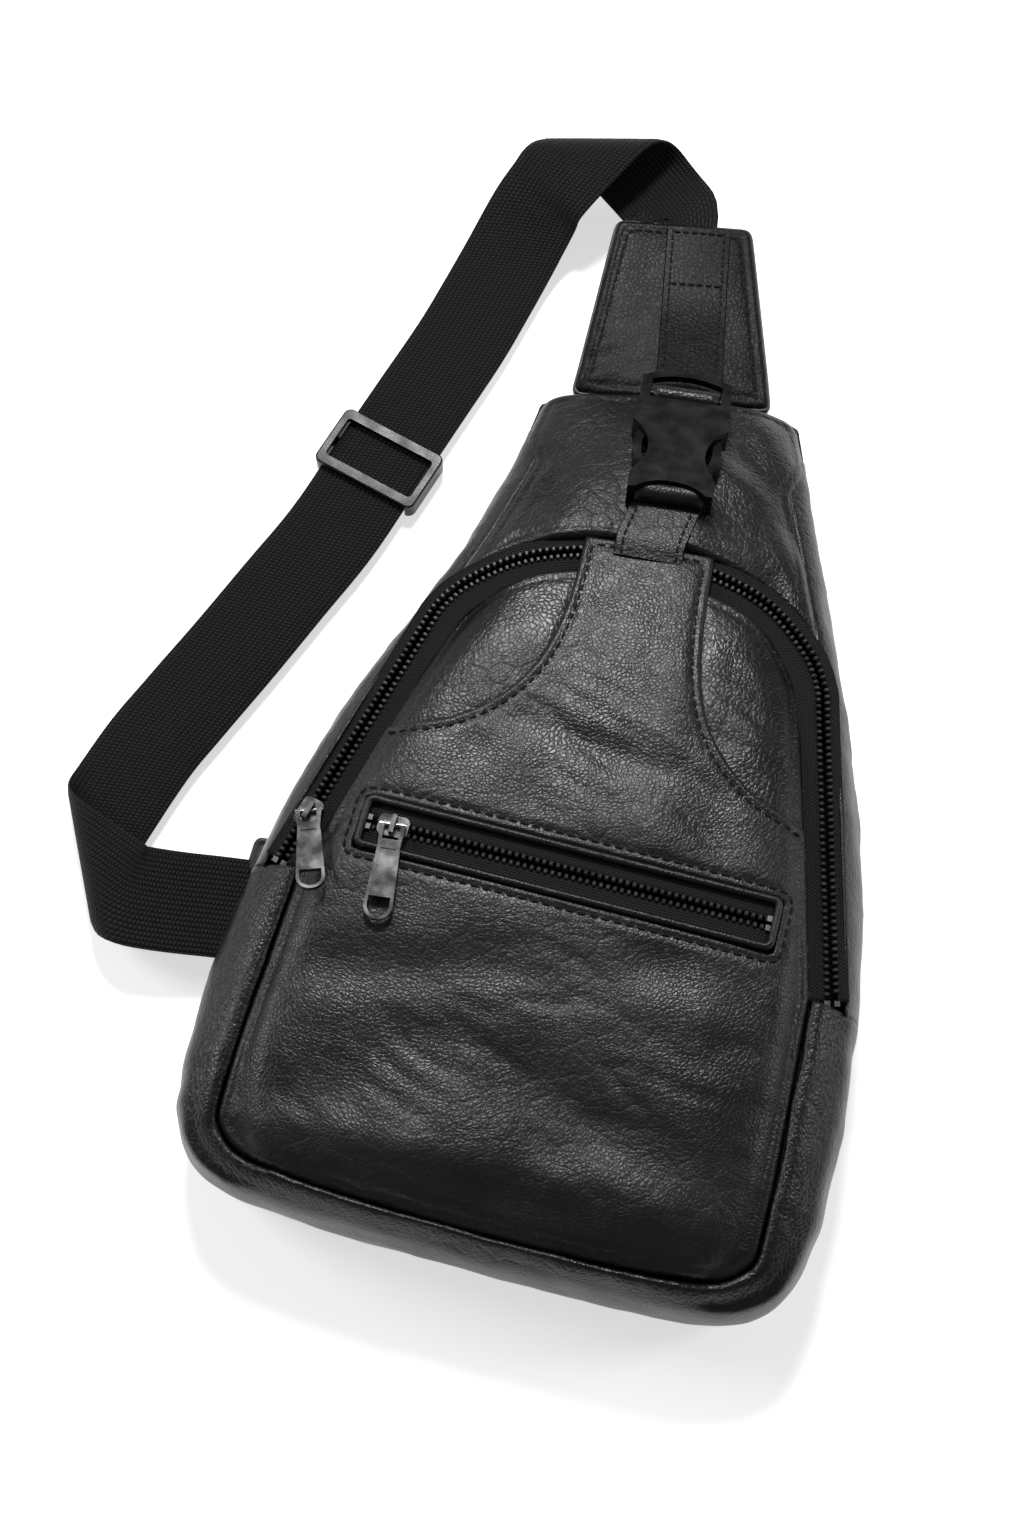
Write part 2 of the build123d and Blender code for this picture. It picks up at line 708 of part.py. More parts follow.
neck_front_z = neck_bottom_z + 2 * leather + stiffener_thickness + webbing_thickness + 4 * neck_gap
strip_z = neck_front_z + neck_gap + strip_thickness / 2
strip_drop = sleeve_outer - strip_thickness / 2 + strip_proud
plug_side = in_buckle(0, plug_bar_y, -strip_drop)
plug_exit = in_buckle(0, plug_length + 3.0, -strip_drop)
strip_top_y = 179.0
upper_route = [strip_station(plug_side, buckle_lean), strip_station(plug_exit, buckle_lean)]
for y, height in ((142.0, strip_z + 1.4), (158.0, strip_z), (strip_top_y, strip_z)):
    x, _, angle = lay(5.0, y)
    upper_route.append((x, lay(5.0, y)[1], height, degrees(angle), 0.0))
parts["buckle_strap"] = ribbon(upper_route, strip_width, strip_thickness, 4) + sleeve(
    plug_bar_y, 0
)
socket_side = in_buckle(0, bar_y, bar_z - strip_drop)
yoke_x, yoke_y, yoke_angle = lay(0.0, yoke_top_y + 0.4)
yoke_z = front_height(yoke_top_y) + strip_thickness / 2 + 0.3
lower_route = [
    strip_station(socket_side, buckle_lean + 180.0),
    (
        (socket_side.X + yoke_x) / 2, (socket_side.Y + yoke_y) / 2,
        (socket_side.Z + yoke_z) / 2 + 0.2, buckle_lean + 180.0, 0.0,
    ),
    (yoke_x, yoke_y, yoke_z, degrees(yoke_angle) + 180.0, 0.0),
]
parts["socket_strap"] = ribbon(lower_route, strip_width, strip_thickness, 3) + sleeve(
    bar_y, bar_z
)


# ---------------------------------------------------------------- neck
def neck_layer(margin, z_low, thickness):
    corners = [
        (margin - neck_base_half, neck_base_y), (neck_base_half - margin, neck_base_y),
        (neck_top_half - margin, neck_top_y - margin), (margin - neck_top_half, neck_top_y - margin),
    ]
    return prism(closed([lay(x, y)[:2] for x, y in corners]), z_low, z_low + thickness)


stiffener_z = neck_bottom_z + leather + neck_gap
webbing_z = stiffener_z + stiffener_thickness + neck_gap + webbing_thickness / 2
parts["neck_back"] = neck_layer(0.0, neck_bottom_z, leather)
parts["neck_stiffener"] = neck_layer(stiffener_margin, stiffener_z, stiffener_thickness)
parts["neck_front"] = neck_layer(0.0, neck_front_z - leather, leather)

# ---------------------------------------------------------------- shoulder strap and adjuster
run_z = rail_foot + adjuster_bar + webbing_gap + webbing_thickness / 2
run_turn = -15.4             # across the straight run that the adjuster slides on
run_top = (-83.3, 121.5)
run_length = 80.0
run_down = (-sin(radians(-run_turn)), -cos(radians(-run_turn)))
run_low = (run_top[0] + run_length * run_down[0], run_top[1] + run_length * run_down[1])
webbing_offset = -3.7        # the webbing lies this far left of the neck's middle
upper_loop = []
for beyond in (-30.0, -11.0, 1.0):
    x, y, angle = lay(webbing_offset, neck_top_y + beyond)
    upper_loop.append((x, y, webbing_z, degrees(angle), 0.0))
upper_loop += [
    (-26.0, 187.5, webbing_z + 0.8, 7.0, 0.0),
    (-33.5, 197.5, 17.5, 0.0, 6.0),
    (-42.5, 204.5, 23.5, -3.0, 15.0),
    (-52.0, 206.0, 20.5, -4.0, 24.0),
    (-60.5, 201.0, 14.5, -6.0, 20.0),
    (-67.0, 191.0, 9.0, -9.0, 9.0),
    (-71.5, 177.5, 5.6, -12.5, 2.0),
    (-75.6, 157.0, run_z + 0.3, -14.6, 0.0),
    (-79.5, 139.0, run_z, -15.4, 0.0),
]
lower_loop = [
    (-113.6, 20.5, run_z, -19.5, 0.0),
    (-122.6, -3.0, run_z, -22.5, 0.0),
    (-132.3, -27.0, run_z, -27.0, 0.0),
    (-140.0, -47.0, run_z + 0.2, -36.0, 0.0),
    (-145.3, -65.0, run_z + 1.2, -47.0, 0.0),
    (-148.3, -78.5, run_z + 4.6, -56.0, 1.0),
    (-146.5, -87.0, run_z + 10.0, -64.0, 4.0),
    (-139.5, -91.0, run_z + 13.2, -74.0, 10.0),
    (-128.0, -91.5, run_z + 13.4, -84.0, 15.0),
    (-114.5, -90.0, run_z + 12.0, -89.0, 16.0),
    (-102.0, -87.8, run_z + 9.6, -90.0, 12.0),
    (-93.0, -86.5, run_z + 7.6, -90.0, 5.0),
]
straight = [
    (run_top[0], run_top[1], run_z, run_turn, 0.0),
    (run_low[0], run_low[1], run_z, run_turn, 0.0),
]
upper_part = ribbon(upper_loop + straight[:1], webbing_width, webbing_thickness, 4)
straight_part = ribbon(straight, webbing_width, webbing_thickness, 1)
lower_part = ribbon(straight[1:] + lower_loop, webbing_width, webbing_thickness, 4)
parts["shoulder_strap"] = upper_part + straight_part + lower_part

strap_end = lower_loop[-1]
tab_top = strap_end[2] - webbing_thickness / 2 - 1.6
parts["side_tab"] = block(
    strap_end[0] - 4.0, strap_end[0] - 4.0 + tab_reach,
    strap_end[1] + 3.5 - tab_length / 2, strap_end[1] + 3.5 + tab_length / 2,
    tab_top - tab_thickness, tab_top,
) - outer_skin


def adjuster_solid():
    """A tri-glide: the webbing runs over its middle bar and under its two outer bars."""
    inner_half = webbing_width / 2 + adjuster_side_gap
    outer_half = inner_half + adjuster_rail
    half_length = adjuster_length / 2
    top = rail_foot + 2 * adjuster_bar + 2 * webbing_gap + webbing_thickness
    rim = Box(2 * outer_half, adjuster_length, top - rail_foot)
    rim = fillet(rim.edges().filter_by(Axis.Z), 2.6)
    rim = fillet(rim.edges().group_by(Axis.Z)[-1], 0.6)
    frame = Pos(0, 0, (top + rail_foot) / 2) * rim
    frame -= block(-inner_half, inner_half, -half_length - 1, half_length + 1, -1,
                   top - adjuster_bar)
    window = fillet(Box(2 * inner_half, adjuster_length - 7.0, 20).edges().filter_by(Axis.Z), 1.2)
    frame -= window
    bar = Box(2 * inner_half + 1, 3.2, adjuster_bar)
    return frame + Pos(0, 0, rail_foot + adjuster_bar / 2) * bar


adjuster_along = 51.0        # from the top of the straight run
adjuster_x = run_top[0] + adjuster_along * run_down[0]
adjuster_y = run_top[1] + adjuster_along * run_down[1]
parts["adjuster"] = Pos(adjuster_x, adjuster_y, 0) * Rot(Z=run_turn) * adjuster_solid()

# ---------------------------------------------------------------- files and the joints' figures
for name, shape in parts.items():
    export_step(shape, "parts/" + name + ".step")


def told(label, vector):
    print(label, [round(value, 3) for value in (vector.X, vector.Y, vector.Z)])


def direction(place, axis):
    """The way a local axis points in the bag's frame."""
    return (place * Pos(*axis)).position - place.position


told("main_slider at", main_slider_place.position)
told("main_slider axis", direction(main_slider_place, (0, 1, 0)))
told("main_pull at", main_pull_place.position)
told("main_pull axis", direction(main_pull_place, (1, 0, 0)))
told("pocket_pull at", pocket_pull_place.position)
told("pocket_pull axis", direction(pocket_pull_place, (1, 0, 0)))
told("buckle at", buckle_place.position)
told("buckle axis", direction(buckle_place, (0, 1, 0)))
told("adjuster at", Vector(adjuster_x, adjuster_y, run_z))
told("adjuster axis", Vector(-run_down[0], -run_down[1], 0))
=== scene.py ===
# %% [markdown]
# # A leather chest bag
# The bag lies on its back, with its front up and its webbing strap spread out beside it.  Its hard
# parts, the sliders, pulls, buckle and adjuster, come ready made from the frame and only get a
# finish.  Everything soft is made here: each leather is cut to its outline, laid over the bag's
# shape, given its thickness and turned edges, and then sewn.

# %% Load the frame
from math import atan2, cos, degrees, hypot, pi, radians, sin

import bpy
import numpy as np
from mathutils import Matrix, Vector, noise
from mathutils.geometry import delaunay_2d_cdt


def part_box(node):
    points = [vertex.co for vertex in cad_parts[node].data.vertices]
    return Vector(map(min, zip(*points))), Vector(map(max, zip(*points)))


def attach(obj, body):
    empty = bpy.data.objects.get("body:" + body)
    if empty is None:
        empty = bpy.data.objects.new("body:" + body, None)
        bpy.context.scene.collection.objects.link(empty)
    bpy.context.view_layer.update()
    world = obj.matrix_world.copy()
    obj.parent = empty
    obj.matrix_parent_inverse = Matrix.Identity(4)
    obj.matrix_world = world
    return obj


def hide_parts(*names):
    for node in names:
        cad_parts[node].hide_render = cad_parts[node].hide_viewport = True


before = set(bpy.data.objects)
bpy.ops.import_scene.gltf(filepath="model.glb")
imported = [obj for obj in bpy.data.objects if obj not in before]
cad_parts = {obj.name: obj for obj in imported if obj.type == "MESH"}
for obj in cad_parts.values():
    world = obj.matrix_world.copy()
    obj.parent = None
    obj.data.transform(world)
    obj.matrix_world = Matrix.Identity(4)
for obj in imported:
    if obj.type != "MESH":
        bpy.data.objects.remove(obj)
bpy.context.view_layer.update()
print("frame holds", len(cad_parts), "parts")

# %% [markdown]
# ## The bag's shape
# A bag like this is drawn straight and then leans a little towards its neck.  So every outline is
# first drawn on a straight bag, in millimetres, and `lay` puts it where the leaning bag has it.
# A rib is the bag's cross-section at one height; its leathers lie on the ribs as a boat's planks
# lie on a boat's ribs, which is the surest way to make separate panels meet along their seams.

# %% The straight bag and the leaning one
MM = 0.001
BODY_WIDTH, BODY_LENGTH, BODY_DEPTH, FOOT_Y = 189.0, 287.0, 47.0, -173.0
LEAN, BEND_START, BEND_LENGTH = radians(10.0), -10.0, 140.0
BEND_RADIUS = BEND_LENGTH / LEAN
# share of the length; shares of the width at the widest line and at the flat back; shares of the
# depth at the underside and at the front
ROWS = np.array([
    (0.000, 0.700, 0.614, 0.200, 0.700), (0.018, 0.850, 0.770, 0.060, 0.880),
    (0.052, 0.942, 0.847, 0.000, 0.960), (0.115, 0.990, 0.868, 0.000, 1.000),
    (0.220, 1.000, 0.868, 0.000, 1.000), (0.359, 0.963, 0.825, 0.000, 1.000),
    (0.446, 0.915, 0.780, 0.000, 1.000), (0.550, 0.836, 0.710, 0.000, 0.980),
    (0.638, 0.746, 0.635, 0.000, 0.936), (0.760, 0.619, 0.530, 0.000, 0.851),
    (0.882, 0.513, 0.444, 0.000, 0.660), (1.000, 0.439, 0.381, 0.000, 0.383),
])


def lay(x, y):
    run = min(max(y - BEND_START, 0.0), BEND_LENGTH)
    turn = run / BEND_RADIUS
    beyond = max(y - BEND_START - BEND_LENGTH, 0.0)
    middle_x = -BEND_RADIUS * (1 - cos(turn)) - beyond * sin(turn)
    middle_y = min(y, BEND_START) + BEND_RADIUS * sin(turn) + beyond * cos(turn)
    return middle_x + x * cos(turn), middle_y + x * sin(turn)


def unlay(px, py):
    turn = atan2(py - BEND_START, px + BEND_RADIUS)
    if turn <= 0:
        return px, py
    if turn <= LEAN:
        return hypot(px + BEND_RADIUS, py - BEND_START) - BEND_RADIUS, BEND_START + turn * BEND_RADIUS
    end_x, end_y = lay(0.0, BEND_START + BEND_LENGTH)
    dx, dy = px - end_x, py - end_y
    along = -dx * sin(LEAN) + dy * cos(LEAN)
    return dx * cos(LEAN) + dy * sin(LEAN), BEND_START + BEND_LENGTH + along


def row_at(y, column):
    return float(np.interp((y - FOOT_Y) / BODY_LENGTH, ROWS[:, 0], ROWS[:, column]))


def half_width(y):
    return row_at(y, 1) * BODY_WIDTH / 2


print("half width at the pocket", round(half_width(-60.7), 1))


# %% Smooth curves through points
def flow(points, per=8):
    """A smooth line through the points, in any number of dimensions."""
    p = np.array(points, float)
    p = np.vstack([2 * p[0] - p[1], p, 2 * p[-1] - p[-2]])
    line = []
    for a, b, c, d in zip(p, p[1:], p[2:], p[3:]):
        for step in range(per):
            t = step / per
            line.append(0.5 * (2 * b + (c - a) * t + (2 * a - 5 * b + 4 * c - d) * t * t
                               + (3 * b - a - 3 * c + d) * t ** 3))
    return np.array(line + [p[-2]])


def even(points, spacing, closed=False):
    """The same line with its points evenly spaced."""
    p = np.array(points, float)
    if closed:
        p = np.vstack([p, p[:1]])
    along = np.concatenate([[0], np.cumsum(np.linalg.norm(np.diff(p, axis=0), axis=1))])
    count = max(int(round(along[-1] / spacing)), 2)
    at = np.linspace(0, along[-1], count + 1)
    line = np.stack([np.interp(at, along, p[:, k]) for k in range(p.shape[1])], axis=1)
    return line[:-1] if closed else line


# %% Ribs and the skin that lies on them
ZIP_FOOT_Y, ZIP_FOOT_Z, ZIP_RISE, ZIP_INSET = -76.0, 37.5, radians(-0.4), 9.7


def zip_z(y):
    return ZIP_FOOT_Z + (y - ZIP_FOOT_Y) * sin(ZIP_RISE)


ribs = {}


def rib(y):
    """The right half of the cross-section at y, from the back's edge to the middle of the front."""
    key = round(y * 2) / 2
    if key not in ribs:
        near = [min(max(key + shift, FOOT_Y), FOOT_Y + BODY_LENGTH) for shift in (-7, 0, 7)]
        wide, flat, back, front = [
            sum(row_at(spot, column) for spot in near) / 3 for column in (1, 2, 3, 4)
        ]
        half, low, top = wide * BODY_WIDTH / 2, back * BODY_DEPTH, front * BODY_DEPTH
        shoulder = min(zip_z(key) + 0.4, 0.8 * top)
        crown = half - 29.0
        side = [
            (flat * BODY_WIDTH / 2, low), (half - 2.5, low + 0.18 * (top - low)),
            (half, low + 0.46 * (top - low)), (half - 3.0, low + 0.85 * (shoulder - low)),
            (half - ZIP_INSET, shoulder), (half - 19.0, 0.6 * shoulder + 0.4 * top),
            (crown, top - 1.2), (crown / 2, top - 0.05), (0.0, top), (-crown / 2, top - 0.05),
        ]
        ribs[key] = flow(side, 10)[:81]
    return ribs[key]


def skin(px, py):
    """Height of the bag's front above the table at a point seen from the front."""
    x, y = unlay(px, py)
    y = min(max(y, FOOT_Y), FOOT_Y + BODY_LENGTH)
    line = rib(y)
    top = line[int(np.argmax(line[:, 0])):]
    return float(np.interp(abs(x), top[::-1, 0], top[::-1, 1]))


print("skin over the pocket", round(skin(0, -60), 2), "mm")

# %% [markdown]
# ## Outlines
# The main zip's arch is the line that most leathers end at, so it is drawn once, and every edge
# beside it is that line moved in or out.  The yoke's edge and the seam round the bag's foot are
# drawn the same way.


# %% The arch, the yoke's edge and the seam round the foot
def arch(offset):
    leg_top, top_y = 14.0, 45.5
    leg_turn = degrees(atan2(half_width(ZIP_FOOT_Y) - half_width(leg_top), leg_top - ZIP_FOOT_Y))
    leg_x, foot_x = half_width(leg_top) - ZIP_INSET, half_width(ZIP_FOOT_Y) - ZIP_INSET
    drop = top_y - leg_top
    right = [
        (foot_x, ZIP_FOOT_Y, leg_turn), (leg_x, leg_top, leg_turn),
        (0.885 * leg_x, top_y - 0.64 * drop, 37.0), (0.63 * leg_x, top_y - 0.245 * drop, 62.0),
        (0.31 * leg_x, top_y - 0.04 * drop, 81.0),
    ]
    whole = right + [(0.0, top_y, 90.0)] + [(-x, y, 180.0 - t) for x, y, t in reversed(right)]
    p = np.array([lay(x + offset * cos(radians(t)), y + offset * sin(radians(t)))
                  for x, y, t in whole])
    ahead = p[1] + (p[1] - p[0]) * 0.12
    behind = p[-2] + (p[-2] - p[-1]) * 0.12
    bend = flow(np.vstack([[2 * p[1] - ahead], p[1:-1], [2 * p[-2] - behind]]), 12)[12:-12]
    return np.vstack([p[:1], bend, p[-1:]])


def foot_seam():
    right, left = arch(-6.5)[0], arch(-6.5)[-1]
    inset = half_width(ZIP_FOOT_Y) - right[0]
    turn = [
        (half_width(FOOT_Y + 33.0) - inset, FOOT_Y + 33.0),
        (half_width(FOOT_Y + 16.5) - inset + 1.0, FOOT_Y + 16.5),
        (0.58 * BODY_WIDTH / 2, FOOT_Y + 9.5), (0.0, FOOT_Y + 7.5),
    ]
    path = turn + [(-x, y) for x, y in reversed(turn[:-1])]
    return flow([(right[0], right[1])] + path + [(left[0], left[1])], 12)


YOKE = [(20.2, 50.5), (20.6, 30.0), (22.4, 14.0), (25.4, 2.0), (31.0, -9.0), (40.0, -18.5),
        (52.0, -25.5), (82.2, -33.0)]


def yoke_edge(side, shift):
    return flow([lay(side * (x - 0.8 * shift), y - 0.8 * shift) for x, y in YOKE], 10)


def crossings(line, other):
    """Where a line crosses another: its own step, the point, and the other line's step."""
    found = []
    for i in range(len(line) - 1):
        a, b = line[i], line[i + 1]
        for j in range(len(other) - 1):
            c, d = other[j], other[j + 1]
            m = np.array([b - a, c - d]).T
            if abs(np.linalg.det(m)) > 1e-9:
                s, t = np.linalg.solve(m, c - a)
                if 0 <= s < 1 and 0 <= t < 1:
                    found.append((i, a + s * (b - a), j))
    return found


zip_line = arch(0.0)
print("zip length", round(float(np.linalg.norm(np.diff(zip_line, axis=0), axis=1).sum())), "mm")

# %% [markdown]
# ## Cutting and laying a leather
# A panel could be a subdivided plane, but its edge would then be a staircase.  A triangle mesh
# that starts from the outline keeps the edge sharp: rows of points follow the edge closely, where
# the leather turns under and the seam pulls it down, and a plain pattern fills the middle.  Every
# point is then lifted to the skin, and Solidify gives the leather its thickness.


# %% Distance to an edge, and what lies inside it
def edge_distance(points, loops):
    best = np.full(len(points), 1e9)
    for loop in loops:
        a, b = loop, np.roll(loop, -1, axis=0)
        for start in range(0, len(a), 64):
            p, q = a[None, start:start + 64], b[None, start:start + 64]
            d = q - p
            t = np.clip(((points[:, None] - p) * d).sum(2) / np.maximum((d * d).sum(2), 1e-12), 0, 1)
            gap = np.linalg.norm(points[:, None] - p - t[..., None] * d, axis=2).min(1)
            best = np.minimum(best, gap)
    return best


def inside(points, loops):
    count = np.zeros(len(points), int)
    for loop in loops:
        a, b = loop, np.roll(loop, -1, axis=0)
        for p, q in zip(a, b):
            crosses = (p[1] > points[:, 1]) != (q[1] > points[:, 1])
            if crosses.any():
                x = p[0] + (points[:, 1] - p[1]) * (q[0] - p[0]) / (q[1] - p[1] + 1e-12)
                count += crosses & (points[:, 0] < x)
    return count % 2 == 1


# %% Making meshes
def select_only(piece):
    bpy.ops.object.select_all(action="DESELECT")
    piece.select_set(True)
    bpy.context.view_layer.objects.active = piece


def new_piece(name, points, faces, uv=None):
    """A piece from points in millimetres."""
    mesh = bpy.data.meshes.new(name)
    mesh.from_pydata([tuple(float(c) * MM for c in p) for p in points], [], faces)
    piece = bpy.data.objects.new(name, mesh)
    bpy.context.scene.collection.objects.link(piece)
    if uv is not None:
        layer = mesh.uv_layers.new(name="along")
        for loop in mesh.loops:
            layer.data[loop.index].uv = uv[loop.vertex_index]
    select_only(piece)
    bpy.ops.object.shade_smooth()
    return piece


def finish_with(piece, kind, **settings):
    select_only(piece)
    modifier = piece.modifiers.new(kind.lower(), kind)
    for name, value in settings.items():
        setattr(modifier, name, value)
    bpy.ops.object.modifier_apply(modifier=modifier.name)


def face_outwards():
    bpy.ops.object.mode_set(mode="EDIT")
    bpy.ops.mesh.select_all(action="SELECT")
    bpy.ops.mesh.normals_make_consistent(inside=False)
    bpy.ops.object.mode_set(mode="OBJECT")


def grid_faces(rows, columns):
    """Faces between rows of points that follow one another."""
    return [(a, a + 1, a + columns + 1, a + columns)
            for i in range(rows - 1) for a in range(i * columns, (i + 1) * columns - 1)]


def tube_faces(rings, count, closed=False):
    """Faces between rings of points, with a cap at each end unless the last ring meets the first."""
    faces = []
    for i in range(rings if closed else rings - 1):
        here, ahead = i * count, (i + 1) % rings * count
        faces += [(here + j, here + (j + 1) % count, ahead + (j + 1) % count, ahead + j)
                  for j in range(count)]
    if not closed:
        faces += [tuple(range(count))[::-1], tuple(range((rings - 1) * count, rings * count))]
    return faces


EDGE_ROWS = (0.35, 0.8, 1.4, 2.1, 2.9, 3.7, 4.6, 5.8)
SHARP = radians(50)


def cut_leather(name, outline, height, holes=(), turn=1.6, seam=3.0, thickness=1.3, spacing=2.1,
                puff=0.0, folds=None):
    """A leather cut to an outline and laid on the skin, with its edges turned under."""
    loops = [even(loop, 1.3, closed=True) for loop in (outline, *holes)]
    points, edges = [], []
    for loop in loops:
        first = len(points)
        points += list(loop)
        edges += [(first + i, first + (i + 1) % len(loop)) for i in range(len(loop))]
    extra = []
    for loop in loops:
        along = np.roll(loop, -1, axis=0) - np.roll(loop, 1, axis=0)
        along /= np.linalg.norm(along, axis=1)[:, None] + 1e-9
        for gap in EDGE_ROWS:
            for way in (-1, 1):
                row = loop + way * gap * np.stack([-along[:, 1], along[:, 0]], axis=1)
                keep = inside(row, loops) & (edge_distance(row, loops) > gap - 0.12)
                extra += list(row[keep])
    low, high = loops[0].min(0), loops[0].max(0)
    grid = []
    for j, y in enumerate(np.arange(low[1], high[1], spacing * 0.87)):
        for x in np.arange(low[0] + (j % 2) * spacing / 2, high[0], spacing):
            grid.append((x + 0.3 * sin(7.1 * y), y + 0.3 * sin(5.3 * x)))
    grid = np.array(grid)
    grid = grid[inside(grid, loops)]
    extra += list(grid[edge_distance(grid, loops) > EDGE_ROWS[-1] + 0.7])
    made = delaunay_2d_cdt([Vector(p) for p in points + extra], edges, [], 0, 1e-4)
    flat = np.array([tuple(p) for p in made[0]])
    middles = np.array([flat[list(face)].mean(0) for face in made[2]])
    faces = [tuple(face) for face, keep in zip(made[2], inside(middles, loops)) if keep]
    used = sorted({i for face in faces for i in face})
    place = {old: new for new, old in enumerate(used)}
    flat = flat[used]
    faces = [tuple(place[i] for i in face) for face in faces]
    gap = edge_distance(flat, loops)
    solid = []
    for (x, y), d in zip(flat, gap):
        z = height(x, y)
        if d < turn:
            z -= turn - (turn * turn - (turn - d) ** 2) ** 0.5
        z -= 0.42 * 2.718 ** (-(((d - seam) / 0.95) ** 2))
        z += puff * (1 - 2.718 ** (-d / 7.0))
        if folds:
            z += folds(x, y) * min(d / 9.0, 1.0)
        solid.append((x, y, z))
    piece = new_piece(name, solid, faces)
    finish_with(piece, "SOLIDIFY", thickness=thickness * MM, offset=-1.0)
    print(name, len(piece.data.polygons), "faces")
    return piece


# %% Creases
def bump_at(x, y, scale, seed):
    return noise.noise(Vector((x / scale, y / scale, seed)))


def relief(x, y):
    """How far soft leather rises and sinks: broad hollows, and sharper creases along one way."""
    broad = 1.0 * bump_at(x * 0.8, y, 34.0, 3.1) + 0.55 * bump_at(x, y, 15.0, 8.7)
    slant = x * 0.35 + y * 0.94
    fold = bump_at(slant * 2.6, (x - y) * 0.5, 26.0, 5.2)
    return broad - 0.8 * max(0.0, 0.22 - abs(fold)) / 0.22 * max(0.0, bump_at(x, y, 40.0, 1.4) + 0.25)


def upper_relief(x, y):
    """The upper panel's slanting folds, deepest on the right."""
    along = (x - 10) * 0.72 + (y - 80) * 0.69
    wave = sin(along / 3.4 + 1.6 * bump_at(x, y, 22.0, 2.2))
    strength = min(max((x + 30) / 55.0, 0.15), 1.0) * max(0.0, 0.5 + bump_at(x, y, 28.0, 6.1))
    return 0.95 * strength * wave + 0.9 * bump_at(x, y, 18.0, 9.0)


# %% [markdown]
# ## The front leather
# Yoke and lower front are one leather on this bag, with the pocket's window cut in it.  The two
# cheeks lie lower and run in under the yoke's turned edges, as a sewer would build it up.

# %% Front panel and cheeks
POCKET_Y, POCKET_HALF, POCKET_OPEN = -60.7, 60.0, 12.4
inner_edge = arch(-6.5)
yoke_sides, joins = {}, {}
for side in (-1, 1):
    edge = yoke_edge(side, 0.0)
    step, point, joins[side] = crossings(edge, inner_edge)[-1]
    yoke_sides[side] = np.vstack([edge[:step + 1], point])
edge_right, edge_left = (line[line[:, 1] < lay(side * 20.2, 49.3)[1]]
                         for side, line in ((1, yoke_sides[1]), (-1, yoke_sides[-1])))
seam_line = foot_seam()
tab_top = [lay(20.2 - 0.4 * step, 49.5) for step in range(0, 102)]
front_outline = np.vstack([
    edge_left, inner_edge[joins[-1] + 1:-1], seam_line[::-1], inner_edge[1:joins[1] + 1],
    edge_right[::-1], np.array(tab_top),
])
welt_x, welt_y = POCKET_HALF + 1.7, POCKET_OPEN / 2 + 1.7
window = np.array([(-welt_x, POCKET_Y - welt_y), (welt_x, POCKET_Y - welt_y),
                   (welt_x, POCKET_Y + welt_y), (-welt_x, POCKET_Y + welt_y)])
# hollows: middle x and y, half width, half height, depth and slant in degrees
HOLLOWS = [(-30, -98, 60, 9, 1.4, 12), (20, -128, 46, 10, 1.5, -14), (-42, -132, 26, 12, 1.1, 30),
           (38, -92, 30, 9, -0.9, 8), (-10, -148, 50, 6, -0.8, 4), (50, -118, 12, 22, -0.9, 10),
           (-8, -20, 44, 5, 0.8, -6), (12, 10, 16, 26, -0.6, 0)]


def front_height(x, y):
    z = skin(x, y) - 0.3
    for cx, cy, wide, tall, depth, turn in HOLLOWS:
        c, s = cos(radians(turn)), sin(radians(turn))
        u, v = ((x - cx) * c + (y - cy) * s) / wide, ((y - cy) * c - (x - cx) * s) / tall
        z -= depth * 2.718 ** (-(u * u + v * v))
    return z


front = cut_leather("front_leather", front_outline, front_height, holes=[window],
                    folds=relief)
cheeks = []
for side, name in ((-1, "cheek_leather_left"), (1, "cheek_leather_right")):
    under = yoke_edge(side, 5.0)
    (first, high, j_high), *_, (last, low, j_low) = crossings(under, inner_edge)
    rim = inner_edge[min(j_high, j_low) + 1:max(j_high, j_low) + 1]
    rim = rim[::-1] if side < 0 else rim
    cheeks.append(cut_leather(
        name, np.vstack([under[first + 1:last + 1], low, rim, high]),
        lambda x, y: skin(x, y) - 1.7, puff=1.3, turn=1.8, folds=relief,
    ))

# %% [markdown]
# ## The upper panel
# This leather is soft and a little padded, and the buckle's pull folds it in slanting creases.  It
# ends at the zip below, rolls over to the side walls, and turns down to the neck at its top.

# %% Upper panel
outer_edge = arch(4.5)
top_y = FOOT_Y + BODY_LENGTH
corner_half = half_width(top_y) - 0.5


def side_inset(y):
    """The upper panel's side edge, in from the bag's: it takes over the whole corner at the top."""
    return 7.0 - 6.6 * min(max((y - 80.0) / 11.0, 0.0), 1.0)


def rounded_top(side, turns):
    """The panel's far edge, a straight end with a round corner."""
    return [lay(side * corner_half * cos(t) ** 0.35, top_y - 5 + 4.5 * sin(t)) for t in turns]


inset_right = [lay(half_width(y) - side_inset(y), y) for y in np.arange(14.0, top_y - 5, 2.0)]
inset_left = [lay(side_inset(y) - half_width(y), y) for y in np.arange(14.0, top_y - 5, 2.0)]
cap = rounded_top(1, np.linspace(0.1, pi / 2, 8))
cap_left = rounded_top(-1, np.linspace(pi / 2 - 0.15, 0.1, 8))
arch_over = [p for p in outer_edge if unlay(*p)[1] > 14.5]
upper_outline = np.vstack([np.array(inset_right), np.array(cap), np.array(cap_left),
                           np.array(inset_left[::-1]), np.array(arch_over[::-1])])


def upper_height(x, y):
    along = unlay(x, y)[1]
    end = max(0.0, (along - (top_y - 16.0)) / 16.0)
    return skin(x, y) + upper_relief(x, y) - 0.2 - 0.8 * end * end


upper = cut_leather("upper_leather", upper_outline, upper_height, puff=2.0, turn=2.6, seam=4.0)

# %% [markdown]
# ## Side walls and the lower gusset
# These leathers stand round the bag's edge, so an outline seen from the front says little.  They
# are laid as a row of ribs instead, from the back's seam up over the widest line to the seam at
# the front.


